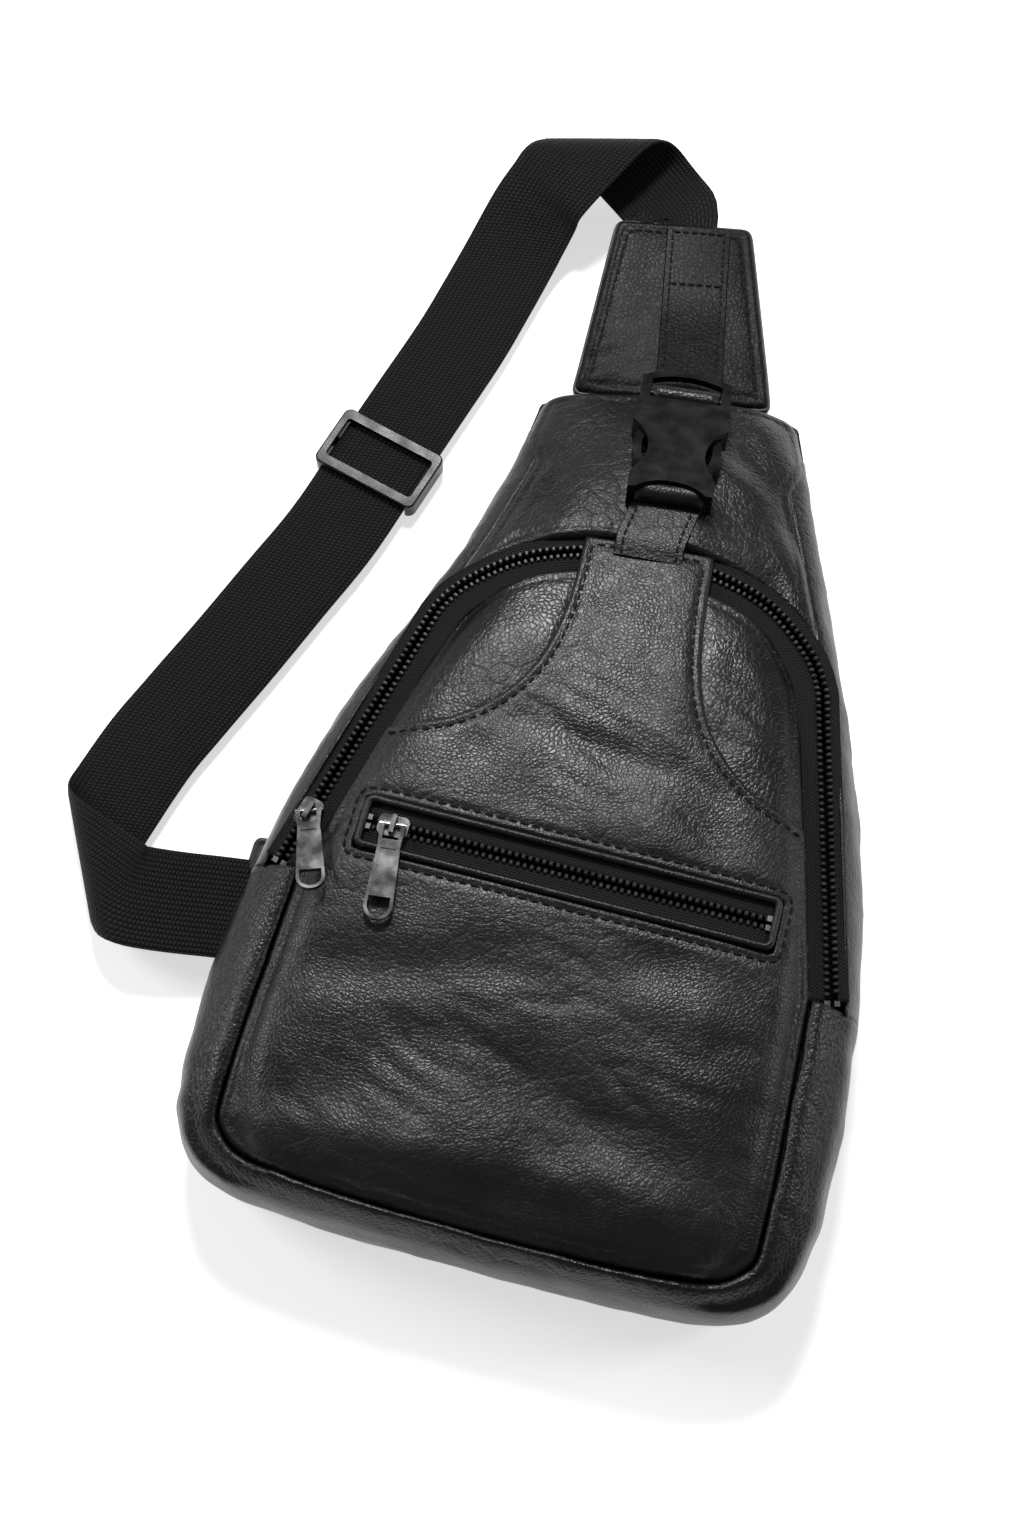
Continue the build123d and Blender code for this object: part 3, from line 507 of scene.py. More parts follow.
# %% Laying a leather over a row of ribs
def wrap(name, rows, thickness=1.3):
    count = len(rows[0])
    points = [p for row in rows for p in row]
    piece = new_piece(name, points, grid_faces(len(rows), count))
    centre = Vector((0, -0.03, 0.02))
    face = piece.data.polygons[len(piece.data.polygons) // 2]
    if face.normal.dot(face.center - centre) < 0:
        piece.data.flip_normals()
    finish_with(piece, "SOLIDIFY", thickness=thickness * MM, offset=-1.0)
    print(name, len(piece.data.polygons), "faces")
    return piece


def wrinkled(p, out, amount=1.0):
    x, y, z = p
    depth = 0.5 * noise.noise(Vector((x / 16, y / 16, z / 9))) + 0.3 * noise.noise(
        Vector((x / 7, y / 7, z / 22)))
    return (x + out[0] * depth * amount, y + out[1] * depth * amount, z)


# %% Side walls
LEG_Y = (ZIP_FOOT_Y, 14.0)
LEG_X = tuple(half_width(y) - ZIP_INSET for y in LEG_Y)
SLIDER_ROOM = 4.2     # from the zip's middle to the wall's edge, beside its straight leg
TIP_END = 98.0        # past this the upper panel covers the corner, and the wall stops at its widest
walls = []
for side, name in ((-1, "wall_leather_left"), (1, "wall_leather_right")):
    rows = []
    for y in np.linspace(ZIP_FOOT_Y - 2.4, top_y - 0.9, 130):
        line = rib(y)
        half = float(line[:, 0].max())
        blend = min(max((y - 6.0) / 16.0, 0.0), 1.0)
        leg = float(np.interp(y, LEG_Y, LEG_X)) + SLIDER_ROOM
        top_stop = half - 8.0 * (1 - 0.93 * min(max((y - 86.0) / 12.0, 0.0), 1.0))
        stop = leg * (1 - blend) + top_stop * blend
        widest = int(np.argmax(line[:, 0]))
        kept = [p for p in line[:widest + 1]] + [p for p in line[widest + 1:] if p[0] > stop + 0.4]
        edge_z = float(np.interp(stop, line[widest:][::-1, 0], line[widest:][::-1, 1]))
        lift = (1 - blend) * 2.0
        kept = np.array(kept)
        rise = np.clip((kept[:, 1] - 0.6 * edge_z) / (0.4 * edge_z), 0, 1) ** 2 * lift
        kept[:, 1] += rise
        tip = [(stop, edge_z + lift),
               (stop - 0.2 - 1.8 * blend, edge_z + lift - 0.9 - 0.7 * blend)] if y < TIP_END else []
        kept = kept if y < TIP_END else kept[:widest + 1] - np.array((0.25, 0.0))
        path = np.vstack([kept, *tip])
        path = even(path, 1.0)
        at = np.linspace(0, len(path) - 1, 34)
        path = np.stack([np.interp(at, range(len(path)), path[:, k]) for k in (0, 1)], axis=1)
        turned = min(max((y - top_y + 5.0) / 4.5, 0.0), 0.99)
        path[:, 0] *= (1 - turned * turned) ** 0.175
        row = []
        for j, (x, z) in enumerate(path):
            px, py = lay(side * x, y)
            row.append(wrinkled((px, py, max(z, 0.15)), (side, 0.1),
                                min(z / 12, 1.0) * min((len(path) - 1 - j) / 8, 1.0)))
        rows.append(row)
    walls.append(wrap(name, rows))

# %% The end under the neck
rows = []
for x in np.linspace(-0.74 * corner_half, 0.74 * corner_half, 40):
    top = upper_height(*lay(x, top_y - 3.0)) - 3.4
    rows.append([(*lay(x, top_y - 1.0 + 0.6 * sin(pi * t)), 0.3 + t * (top - 0.3))
                 for t in np.linspace(0, 1, 12)])
end_wall = wrap("end_leather", rows)

# %% Lower gusset
outline_side = [(half_width(y), y) for y in np.arange(ZIP_FOOT_Y - 2.8, -148, -6)]
outline_turn = [(91.2, -152), (86.5, -161), (79, -167.2), (66, -171), (40, -172.6), (0, -173)]
widest = np.array(outline_side + outline_turn)
widest = flow(np.vstack([widest, widest[-2::-1] * (-1, 1)]), 8)
back_side = [(row_at(y, 2) * BODY_WIDTH / 2, y) for y in np.arange(ZIP_FOOT_Y - 2.8, -144, -6)]
back_turn = [(79.5, -150), (74, -157.5), (64, -162), (40, -163.6), (0, -164)]
back_line = np.array(back_side + back_turn)
back_line = flow(np.vstack([back_line, back_line[-2::-1] * (-1, 1)]), 8)
seam_inner = foot_seam()
STATIONS = 240


def at_shares(line, count):
    along = np.concatenate([[0], np.cumsum(np.linalg.norm(np.diff(line, axis=0), axis=1))])
    at = np.linspace(0, along[-1], count)
    return np.stack([np.interp(at, along, line[:, k]) for k in (0, 1)], axis=1)


rows = []
for m, e, s in zip(*(at_shares(line, STATIONS) for line in (widest, back_line, seam_inner))):
    top = skin(*s)
    out = (m - s) / np.linalg.norm(m - s)
    stations = [
        (*e, 0.3), (*(e + 0.72 * (m - e)), 4.6), (*m, 20.0), (*(m + 0.12 * (s - m)), 32.0),
        (*(m + 0.42 * (s - m)), top - 3.2), (*(m + 0.76 * (s - m)), top + 0.2),
        (*(m + 0.95 * (s - m)), top - 0.3), (*(s + 0.6 * out), top - 2.4),
    ]
    row = flow(stations, 5)
    rows.append([wrinkled(p, out, min(p[2] / 12, 1.0)) for p in row])
gusset = wrap("gusset_leather", rows)

# %% [markdown]
# ## Back
# The back is one plain flat leather, with the gusset's edge sewn to it all round.

# %% Back panel
back_right = [lay(row_at(y, 2) * BODY_WIDTH / 2 + 0.5, y) for y in np.arange(-146.0, top_y, 4.0)]
back_left = [lay(-row_at(y, 2) * BODY_WIDTH / 2 - 0.5, y) for y in np.arange(-146.0, top_y, 4.0)]
back_foot = flow([(-80, -150), (-74, -158), (-64, -162.4), (0, -164.4), (64, -162.4), (74, -158),
                  (80, -150)], 8)
back = cut_leather(
    "back_leather", np.vstack([back_right, back_left[::-1], back_foot]), lambda x, y: 1.8,
    spacing=5.0, turn=0.5, thickness=1.25,
)

# %% [markdown]
# ## Zips
# A tape is a flat ribbon, and a tooth is a small moulded block with rounded edges.  One tooth is
# modelled and set out along both rows, each row half a pitch off the other, as they mesh.

# %% Tapes and a tooth
TAPE_THICK = 0.5


def normals_of(line):
    along = np.gradient(line, axis=0)
    along /= np.linalg.norm(along, axis=1)[:, None]
    return np.stack([along[:, 1], -along[:, 0]], axis=1), along


def back_cloth(piece):
    """Turn a cloth's face up and give it its thickness below."""
    if piece.data.polygons[0].normal.z < 0:
        piece.data.flip_normals()
    finish_with(piece, "SOLIDIFY", thickness=TAPE_THICK * MM, offset=-1.0)


def tape(name, inner, outer, height, sag=0.25):
    middle = even(arch((inner + outer) / 2), 1.5)
    side, _ = normals_of(middle)
    half = (outer - inner) / 2
    points, uv = [], []
    across = np.linspace(-1, 1, 6)
    for i, (p, n) in enumerate(zip(middle, side)):
        for a in across:
            x, y = p + n * a * half
            points.append((x, y, height(y) - sag * (1 - a * a)))
            uv.append((a * half, i * 1.5))
    piece = new_piece(name, points, grid_faces(len(middle), len(across)), uv)
    back_cloth(piece)
    return piece


tape_inner = tape("main_tape_inside", -8.4, -1.9, lambda y: zip_z(y) + 0.2)
tape_outer = tape("main_tape_outside", 1.9, 4.9, lambda y: zip_z(y) + 0.2)


def template_tooth():
    bpy.ops.object.select_all(action="DESELECT")
    bpy.ops.mesh.primitive_cube_add(size=1.0)
    tooth = bpy.context.object
    bpy.ops.object.mode_set(mode="EDIT")
    bpy.ops.mesh.bevel(offset=0.24, segments=1, affect="EDGES")
    bpy.ops.object.mode_set(mode="OBJECT")
    points = np.array([v.co[:] for v in tooth.data.vertices])
    faces = [tuple(p.vertices) for p in tooth.data.polygons]
    bpy.data.objects.remove(tooth)
    return points, faces


TOOTH = template_tooth()


def set_out(name, template, places):
    """Copies of one small shape.  A place is its middle and its three sized axes, in millimetres."""
    points, faces = [], []
    for middle, ax, ay, az in places:
        first = len(points)
        m = np.array([ax, ay, az])
        points += list(template[0] @ m + middle)
        faces += [tuple(first + i for i in face) for face in template[1]]
    piece = new_piece(name, points, faces)
    bpy.ops.object.shade_smooth_by_angle(angle=radians(40))
    return piece


PITCH = 2.05


def teeth_row(name, side, shift):
    line = even(arch(0.0), PITCH)
    n, along = normals_of(line)
    places = []
    for i in range(1, len(line) - 1):
        p = line[i] + along[i] * PITCH * shift
        x, y = p + n[i] * side * 1.33
        z = zip_z(y)
        places.append((np.array((x, y, z)), np.array((*(n[i] * side * 1.72), 0)),
                       np.array((*(along[i] * 1.28), 0)), np.array((0, 0, 2.1))))
    return set_out(name, TOOTH, places)


teeth_in = teeth_row("main_teeth_inside", -1, 0.0)
teeth_out = teeth_row("main_teeth_outside", 1, 0.5)

# %% Pocket zip: tapes, teeth and the welt round the window
POCKET_Z = BODY_DEPTH - 1.6
pocket_tapes, pocket_teeth = [], []
for side, name in ((1, "upper"), (-1, "lower")):
    near, far = 1.9, POCKET_OPEN / 2 + 0.6
    points, uv = [], []
    xs = np.linspace(-POCKET_HALF - 0.5, POCKET_HALF + 0.5, 70)
    for i, x in enumerate(xs):
        for j, y in enumerate(np.linspace(near, far, 5)):
            points.append((x, POCKET_Y + side * y, POCKET_Z + 0.25 - 0.25 * sin(pi * j / 4)))
            uv.append((y, x))
    piece = new_piece("pocket_tape_" + name + "_cloth", points, grid_faces(len(xs), 5), uv)
    back_cloth(piece)
    pocket_tapes.append(piece)
    places = []
    for x in np.arange(-POCKET_HALF + 2.6, POCKET_HALF - 2.4, PITCH):
        x += PITCH / 2 if side > 0 else 0
        places.append((np.array((x, POCKET_Y + side * 1.33, POCKET_Z)),
                       np.array((1.28, 0, 0)), np.array((0, 1.72, 0)), np.array((0, 0, 2.1))))
    pocket_teeth.append(set_out("pocket_teeth_" + name + "_row", TOOTH, places))


def rounded_frame(half_x, half_y, radius, spacing=1.0):
    corner = []
    for cx, cy, start in ((half_x, half_y, 0), (-half_x, half_y, 90), (-half_x, -half_y, 180),
                          (half_x, -half_y, 270)):
        for t in np.linspace(0, 90, 7):
            a = radians(start + t)
            corner.append((cx - radius * np.sign(cx) + radius * cos(a),
                           cy - radius * np.sign(cy) + radius * sin(a)))
    return even(corner, spacing, closed=True)


def sweep(name, path, section):
    """A section carried round a closed path; the section is (outwards, up) points in order."""
    path = np.array(path, float)
    along = np.roll(path, -1, axis=0) - np.roll(path, 1, axis=0)
    along /= np.linalg.norm(along, axis=1)[:, None]
    out = np.cross(along, (0.0, 0.0, 1.0))
    out /= np.linalg.norm(out, axis=1)[:, None]
    up = np.cross(out, along)
    points = [p + o * a + u * b for p, o, u in zip(path, out, up) for a, b in section]
    piece = new_piece(name, points, tube_faces(len(path), len(section), closed=True))
    face_outwards()
    bpy.ops.object.shade_smooth_by_angle(angle=SHARP)
    return piece


welt_path = [(x, POCKET_Y + y, POCKET_Z + 0.6) for x, y in
             rounded_frame(POCKET_HALF + 0.85, POCKET_OPEN / 2 + 0.85, 1.6)]
welt_section = [(1.15 * cos(t), 0.45 + 1.35 * sin(t)) for t in np.linspace(0, 2 * pi, 13)[:-1]]
welt = sweep("pocket_welt_leather", welt_path, welt_section)

# %% [markdown]
# ## Straps
# A strap is a section carried along stations, each of which says where its middle is and which way
# is across.  The webbing keeps its width and only bends, so this is truer than a simulation, and
# its UV map holds millimetres, so that the weave follows it round every bend.


# %% A ribbon through stations
def ribbon(name, stations, width, thickness, per=8, columns=14, crown=0.0, edge=0.35):
    middles = flow([s[:3] for s in stations], per)
    level = [cos(radians(s[4])) for s in stations]
    across = flow([(c * cos(radians(s[3])), c * sin(radians(s[3])), -sin(radians(s[4])))
                   for c, s in zip(level, stations)], per)
    across /= np.linalg.norm(across, axis=1)[:, None]
    along = np.gradient(middles, axis=0)
    along /= np.linalg.norm(along, axis=1)[:, None]
    run = np.concatenate([[0], np.cumsum(np.linalg.norm(np.diff(middles, axis=0), axis=1))])
    half, thin = width / 2, thickness / 2
    loop = [(-half, 0), *[(a * (half - edge), 1) for a in np.linspace(-1, 1, columns)],
            (half, 0), *[(a * (half - edge), -1) for a in np.linspace(1, -1, columns)]]
    points, uv = [], []
    for m, c, f, r in zip(middles, across, along, run):
        up = np.cross(c, f)
        up /= np.linalg.norm(up)
        slant = max(1 - float(c @ f) ** 2, 0.35) ** 0.5
        for a, b in loop:
            lift = crown * (1 - (a / half) ** 2) if b > 0 else 0.0
            points.append(m + c * (a / slant) + up * (b * thin + lift))
            uv.append((a + (100.0 if b < 0 else 0.0), r))
    piece = new_piece(name, points, tube_faces(len(middles), len(loop)), uv)
    face_outwards()
    bpy.ops.object.shade_smooth_by_angle(angle=SHARP)
    return piece, middles, across


# %% [markdown]
# Where the webbing turns back it folds over, and its other face comes up.  A fold bends cloth but
# doesn't stretch it, so the strap is first drawn flat, as if it ran straight on over the crease,
# and everything past the crease is then rolled over a thin round bar and laid back the other way.

# %% A fold over a crease
class Crease:
    def __init__(self, spot, along, radius, flip=1):
        self.c = np.array(along) / np.linalg.norm(along)
        self.m = flip * np.array((self.c[1], -self.c[0]))
        self.radius = radius
        self.start = np.array(spot) - self.m * radius

    def opened(self, point):
        """Where a point that lies past the fold is when the strap is drawn straight on."""
        away = np.array(point[:2]) - self.start
        return self.start + self.c * (away @ self.c) + self.m * (pi * self.radius - away @ self.m)

    def folded(self, point):
        """A point of the straight strap, and how high the roll lifts it."""
        away = point - self.start
        q, r = away @ self.c, away @ self.m
        if r <= 0:
            return point, 0.0
        if r >= pi * self.radius:
            return self.start + self.c * q + self.m * (pi * self.radius - r), 2 * self.radius
        turn = r / self.radius
        return self.start + self.c * q + self.m * self.radius * sin(turn), self.radius * (1 - cos(turn))


def strap_rows(path, crease, right, columns):
    """Rows of middle points across the strap; a path point is x, y, height, drawn straight on."""
    line = even(flow(path, 10), 2.0)
    along = np.gradient(line[:, :2], axis=0)
    along /= np.linalg.norm(along, axis=1)[:, None]
    rows = []
    for (x, y, z), (dx, dy) in zip(line, along):
        across = np.array((dy, -dx)) * right
        row = []
        for w in np.linspace(-WEB_WIDTH / 2, WEB_WIDTH / 2, columns):
            (px, py), lift = crease.folded(np.array((x, y)) + w * across)
            row.append((px, py, z + lift))
        rows.append(row)
    return rows


# %% The shoulder strap
WEB_WIDTH, WEB_THICK, RUN_Z, WEB_Z = 31.5, 1.5, 3.3, 10.45
crest = Crease((-45.0, 204.0), (-0.98, -0.2), 8.5)
turn_back = Crease((-146.5, -82.0), (0.47, -0.88), 6.0)
past_crest = -2 * crest.radius
first_path = [(*lay(-3.7, y), WEB_Z) for y in (152.0, 166.0, 180.0, 187.0)]
for x, y, z in ((-63.6, 186.5, 20.5), (-69.6, 176.5, 13.0), (-73.2, 166.5, 7.4), (-75.9, 156.0, 4.2),
                (-79.5, 139.0, RUN_Z), (-83.3, 121.5, RUN_Z), (-90.5, 95.5, RUN_Z)):
    first_path.append((*crest.opened((x, y)), z + past_crest))
second_path = [(-96.8, 72.6, RUN_Z), (-104.5, 44.4, RUN_Z), (-113.6, 20.5, RUN_Z),
               (-122.6, -3.0, RUN_Z), (-132.3, -27.0, RUN_Z), (-140.0, -48.0, RUN_Z)]
for x, y, z in ((-136.0, -89.0, 15.3), (-128.0, -91.7, 15.0), (-114.5, -90.3, 13.6),
                (-102.0, -88.0, 12.0), (-93.0, -86.5, 10.9)):
    second_path.append((*turn_back.opened((x, y)), z - 2 * turn_back.radius))
COLUMNS = 19
middle_rows = strap_rows(first_path, crest, 1, COLUMNS) + strap_rows(
    second_path, turn_back, -1, COLUMNS)
sheet_points = np.array(middle_rows)
for _ in range(3):
    inner = (sheet_points[:-2] + 2 * sheet_points[1:-1] + sheet_points[2:]) / 4
    sheet_points[1:-1] = inner
way = np.gradient(sheet_points, axis=0)
over = np.gradient(sheet_points, axis=1)
face_up = np.cross(over, way)
face_up /= np.linalg.norm(face_up, axis=2)[..., None]
runs = np.concatenate([[0], np.cumsum(np.linalg.norm(
    np.diff(sheet_points[:, COLUMNS // 2], axis=0), axis=1))])
points, uv = [], []
for row, up, run in zip(sheet_points, face_up, runs):
    for sign, order in ((1, range(COLUMNS)), (-1, range(COLUMNS - 1, -1, -1))):
        for k in order:
            thin = WEB_THICK / 2 * (0.45 if k in (0, COLUMNS - 1) else 1.0)
            p = row[k] + up[k] * thin * sign
            points.append((p[0], p[1], max(p[2], 0.1)))
            uv.append((k * WEB_WIDTH / (COLUMNS - 1) + (0 if sign > 0 else 100), run))
strap = new_piece("webbing_strap", points, tube_faces(len(sheet_points), 2 * COLUMNS), uv)
face_outwards()
bpy.ops.object.shade_smooth_by_angle(angle=SHARP)

# %% [markdown]
# ## The buckle's leather strips and the neck
# Each strip goes round a bar of the buckle and is sewn down, the upper one on the neck with a box
# of stitches and the lower one on the yoke.  The neck is two leathers with the webbing's end
# between them, turned in and sewn along its edges.

# %% Strips
LEAN_B, PITCH_B = radians(5.4), radians(-17.2)
BUCKLE = Matrix.Translation((-3.7, 100.6, 30.3)) @ Matrix.Rotation(LEAN_B, 4, "Z") @ Matrix.Rotation(
    PITCH_B, 4, "X")


def in_buckle(x, y, z):
    return tuple(BUCKLE @ Vector((x, y, z)))


SLEEVE_IN, STRIP = 1.8, 1.6
DROP = SLEEVE_IN + STRIP / 2 + 0.08
upper_route = [(*in_buckle(0, 6.4, -DROP), 5.4, 0), (*in_buckle(0, 18.5, -DROP), 5.4, 0)]
for y, z in ((142.0, 15.0), (158.0, 13.6), (179.0, 13.6)):
    upper_route.append((*lay(5.0, y), z, 10.0, 0.0))
strip_upper, upper_mid, upper_across = ribbon(
    "buckle_strip_upper", upper_route, 21.3, 1.6, per=12, columns=12, crown=0.15)
bar_y, bar_z = 3.2 - 38.5, -0.9
low_start = in_buckle(0, bar_y, bar_z - DROP)
yoke_x, yoke_y = lay(0.0, 49.9)
yoke_z = skin(yoke_x, yoke_y) + 1.1
lower_route = [(*low_start, 185.4, 0),
               ((low_start[0] + yoke_x) / 2, (low_start[1] + yoke_y) / 2,
                (low_start[2] + yoke_z) / 2 + 0.2, 185.4, 0),
               (yoke_x, yoke_y, yoke_z, 184.3, 0), (*lay(0.0, 44.0), yoke_z - 0.6, 184.0, 0)]
strip_lower, lower_mid, lower_across = ribbon(
    "buckle_strip_lower", lower_route, 21.3, 1.6, per=12, columns=12, crown=0.15)


ROLL_HALF, ROLL_SIDES, ROLL_RINGS = 10.6, 32, 9


def roll(name, y, z):
    """The leather wrapped round a bar: an outer tube and a bore, joined by flat ends."""
    turns = np.linspace(0, 2 * pi, ROLL_SIDES + 1)[:-1]
    rings = [(r, x) for r in (SLEEVE_IN + STRIP, SLEEVE_IN)
             for x in np.linspace(-ROLL_HALF, ROLL_HALF, ROLL_RINGS)]
    points = [in_buckle(x, y + r * cos(t), z + r * sin(t)) for r, x in rings for t in turns]
    around = [*range(ROLL_RINGS), *range(2 * ROLL_RINGS - 1, ROLL_RINGS - 1, -1)]
    faces = []
    for here, ahead in zip(around, around[1:] + around[:1]):
        for j in range(ROLL_SIDES):
            k = (j + 1) % ROLL_SIDES
            faces.append((here * ROLL_SIDES + j, here * ROLL_SIDES + k,
                          ahead * ROLL_SIDES + k, ahead * ROLL_SIDES + j))
    piece = new_piece(name, points, faces)
    face_outwards()
    return piece


roll_upper = roll("strip_roll_upper", 6.4, 0.0)
roll_lower = roll("strip_roll_lower", bar_y, bar_z)

# %% Neck
def neck_shape(margin):
    corners = [(margin - 32.4, 114.6), (32.4 - margin, 114.6), (22.6 - margin, 182.0 - margin),
               (margin - 22.6, 182.0 - margin)]
    line = []
    for (ax, ay), (bx, by) in zip(corners, corners[1:] + corners[:1]):
        for t in np.linspace(0.0, 1.0, 40)[:-1]:
            line.append((ax + t * (bx - ax), ay + t * (by - ay)))
    line = np.array(line)
    for _ in range(3):
        line = (np.roll(line, 1, axis=0) + 2 * line + np.roll(line, -1, axis=0)) / 4
    return np.array([lay(x, y) for x, y in line])


def neck_height(x, y):
    u, v = unlay(x, y)
    side = abs(u) / (32.4 - 9.8 * (v - 114.6) / 67.4)
    gather = 0.8 * sin((v + 0.35 * abs(u)) / 1.7 + 2.0 * bump_at(x, y, 12.0, 4.0))
    gather *= max(0.0, side - 0.45) * max(0.0, 1.0 - (v - 114.6) / 42.0) * (1.2 if u < 0 else 0.7)
    return 12.45 + gather + 0.35 * bump_at(x, y, 14.0, 7.7)


neck_top = cut_leather("neck_leather_front", neck_shape(0.0), neck_height, turn=2.2, seam=3.6,
                       puff=0.2)
neck_under = cut_leather("neck_leather_back", neck_shape(0.0), lambda x, y: 8.3, turn=1.0,
                         spacing=4.0)
neck_edge = even(neck_shape(0.4), 1.2, closed=True)
neck_pipe = sweep("neck_edge_leather", [(x, y, 9.7) for x, y in neck_edge],
                  [(0.9 * cos(t), 1.7 * sin(t)) for t in np.linspace(0, 2 * pi, 11)[:-1]])

# %% Side tab
tab_low, tab_high = (np.array(c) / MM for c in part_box("side_tab"))
tab_mid = (tab_low + tab_high) / 2
tab_half = (tab_high - tab_low) / 2
tab_outline = rounded_frame(tab_half[0], tab_half[1], 2.5) + tab_mid[:2]
tab = cut_leather("side_tab_leather", tab_outline, lambda x, y: tab_high[2], thickness=2.6,
                  turn=1.2, seam=2.6)

# %% [markdown]
# ## Stitches
# A stitch is a short rounded bead of thread that stands a little out of the leather, with a gap to
# the next.  One bead is modelled, and its copies follow a line beside each seam.


# %% Beads of thread
def template_bead():
    bpy.ops.object.select_all(action="DESELECT")
    bpy.ops.mesh.primitive_uv_sphere_add(segments=6, ring_count=5, radius=0.5)
    bead = bpy.context.object
    points = np.array([v.co[:] for v in bead.data.vertices])[:, [2, 0, 1]]
    faces = [tuple(p.vertices) for p in bead.data.polygons]
    bpy.data.objects.remove(bead)
    return points, faces


BEAD = template_bead()


def stitch(name, lines, pitch=3.5, length=2.6, thick=0.95, closed=False):
    places = []
    for line in lines:
        line = even(line, pitch, closed)
        for a, b in zip(line, line[1:]):
            middle, way = (a + b) / 2, (b - a) / np.linalg.norm(b - a)
            side = np.cross((0, 0, 1.0), way)
            side /= np.linalg.norm(side)
            up = np.cross(way, side)
            places.append((middle + up * 0.1, way * length, side * thick, up * thick * 0.8))
    piece = set_out(name, BEAD, places)
    bpy.ops.object.shade_smooth()
    print(name, len(places), "stitches")
    return piece


def rest_on(piece, line, lift=0.12):
    """Lower a line onto a finished piece, a ray at a time."""
    laid = []
    for x, y, *_ in line:
        hit, spot, _, _ = piece.ray_cast((x * MM, y * MM, 0.09), (0, 0, -1))
        if hit:
            laid.append((x, y, spot.z / MM + lift))
    return np.array(laid)


def beside(line, gap):
    side, _ = normals_of(np.array(line, float))
    return np.array(line)[:, :2] + side * gap


yoke_lines = []
for side in (-1, 1):
    edge = yoke_sides[side][yoke_sides[side][:, 1] < lay(0, 47)[1] + side * 0.5]
    yoke_lines.append(rest_on(front, beside(even(edge, 2.0), side * 3.0)))
yoke_lines.append(rest_on(front, [lay(x, 46.6) for x in np.linspace(-16.5, 16.5, 12)]))
pocket_line = [(x, POCKET_Y + y) for x, y in rounded_frame(welt_x + 3.0, welt_y + 3.0, 3.0)]
yoke_thread = stitch("yoke_thread", yoke_lines)
pocket_thread = stitch("pocket_thread", [rest_on(front, pocket_line + pocket_line[:1])])


def on_strip(piece, middles, across, offset, first):
    return rest_on(piece, [m + c * offset for m, c in list(zip(middles, across))[first:]])


strip_lines = [on_strip(strip_upper, upper_mid, upper_across, x, 14) for x in (-8.6, 8.6)]
box_rows = [rest_on(strip_upper, [lay(5.0 + x, y) for x in np.linspace(-8.6, 8.6, 6)])
            for y in (157.0, 177.0)]
lower_lines = [on_strip(strip_lower, lower_mid, lower_across, x, 6) for x in (-8.4, 8.4)]
strip_thread = stitch("strip_thread", strip_lines + box_rows + lower_lines, pitch=3.0, length=2.3)
neck_in = neck_shape(4.2)
neck_thread = stitch("neck_thread", [rest_on(neck_top, np.vstack([neck_in, neck_in[:1]]))],
                     pitch=3.2, length=2.4)

# %% [markdown]
# ## Finishes
# Black is the hard part here: every piece is nearly the same dark grey, so the leathers, the cloth,
# the metal and the plastic are told apart by gloss and by the size of their surface detail.  Grain
# and weave are built once as groups, and every finish uses them with its own sizes.


# %% Shader groups: leather grain, with a tone lighter on the pebbles' tops
def new_group(name, inputs, outputs):
    group = bpy.data.node_groups.new(name, "ShaderNodeTree")
    for label, kind, value in inputs:
        socket = group.interface.new_socket(name=label, in_out="INPUT", socket_type=kind)
        if value is not None:
            socket.default_value = value
    for label, kind in outputs:
        group.interface.new_socket(name=label, in_out="OUTPUT", socket_type=kind)
    return group, group.nodes.new("NodeGroupInput"), group.nodes.new("NodeGroupOutput")


def math_node(tree, kind, a, b=None, clamp=False):
    node = tree.nodes.new("ShaderNodeMath")
    node.operation = kind
    node.use_clamp = clamp
    for index, value in enumerate((a, b)):
        if value is None:
            continue
        if hasattr(value, "is_linked"):
            tree.links.new(value, node.inputs[index])
        else:
            node.inputs[index].default_value = value
    return node.outputs[0]


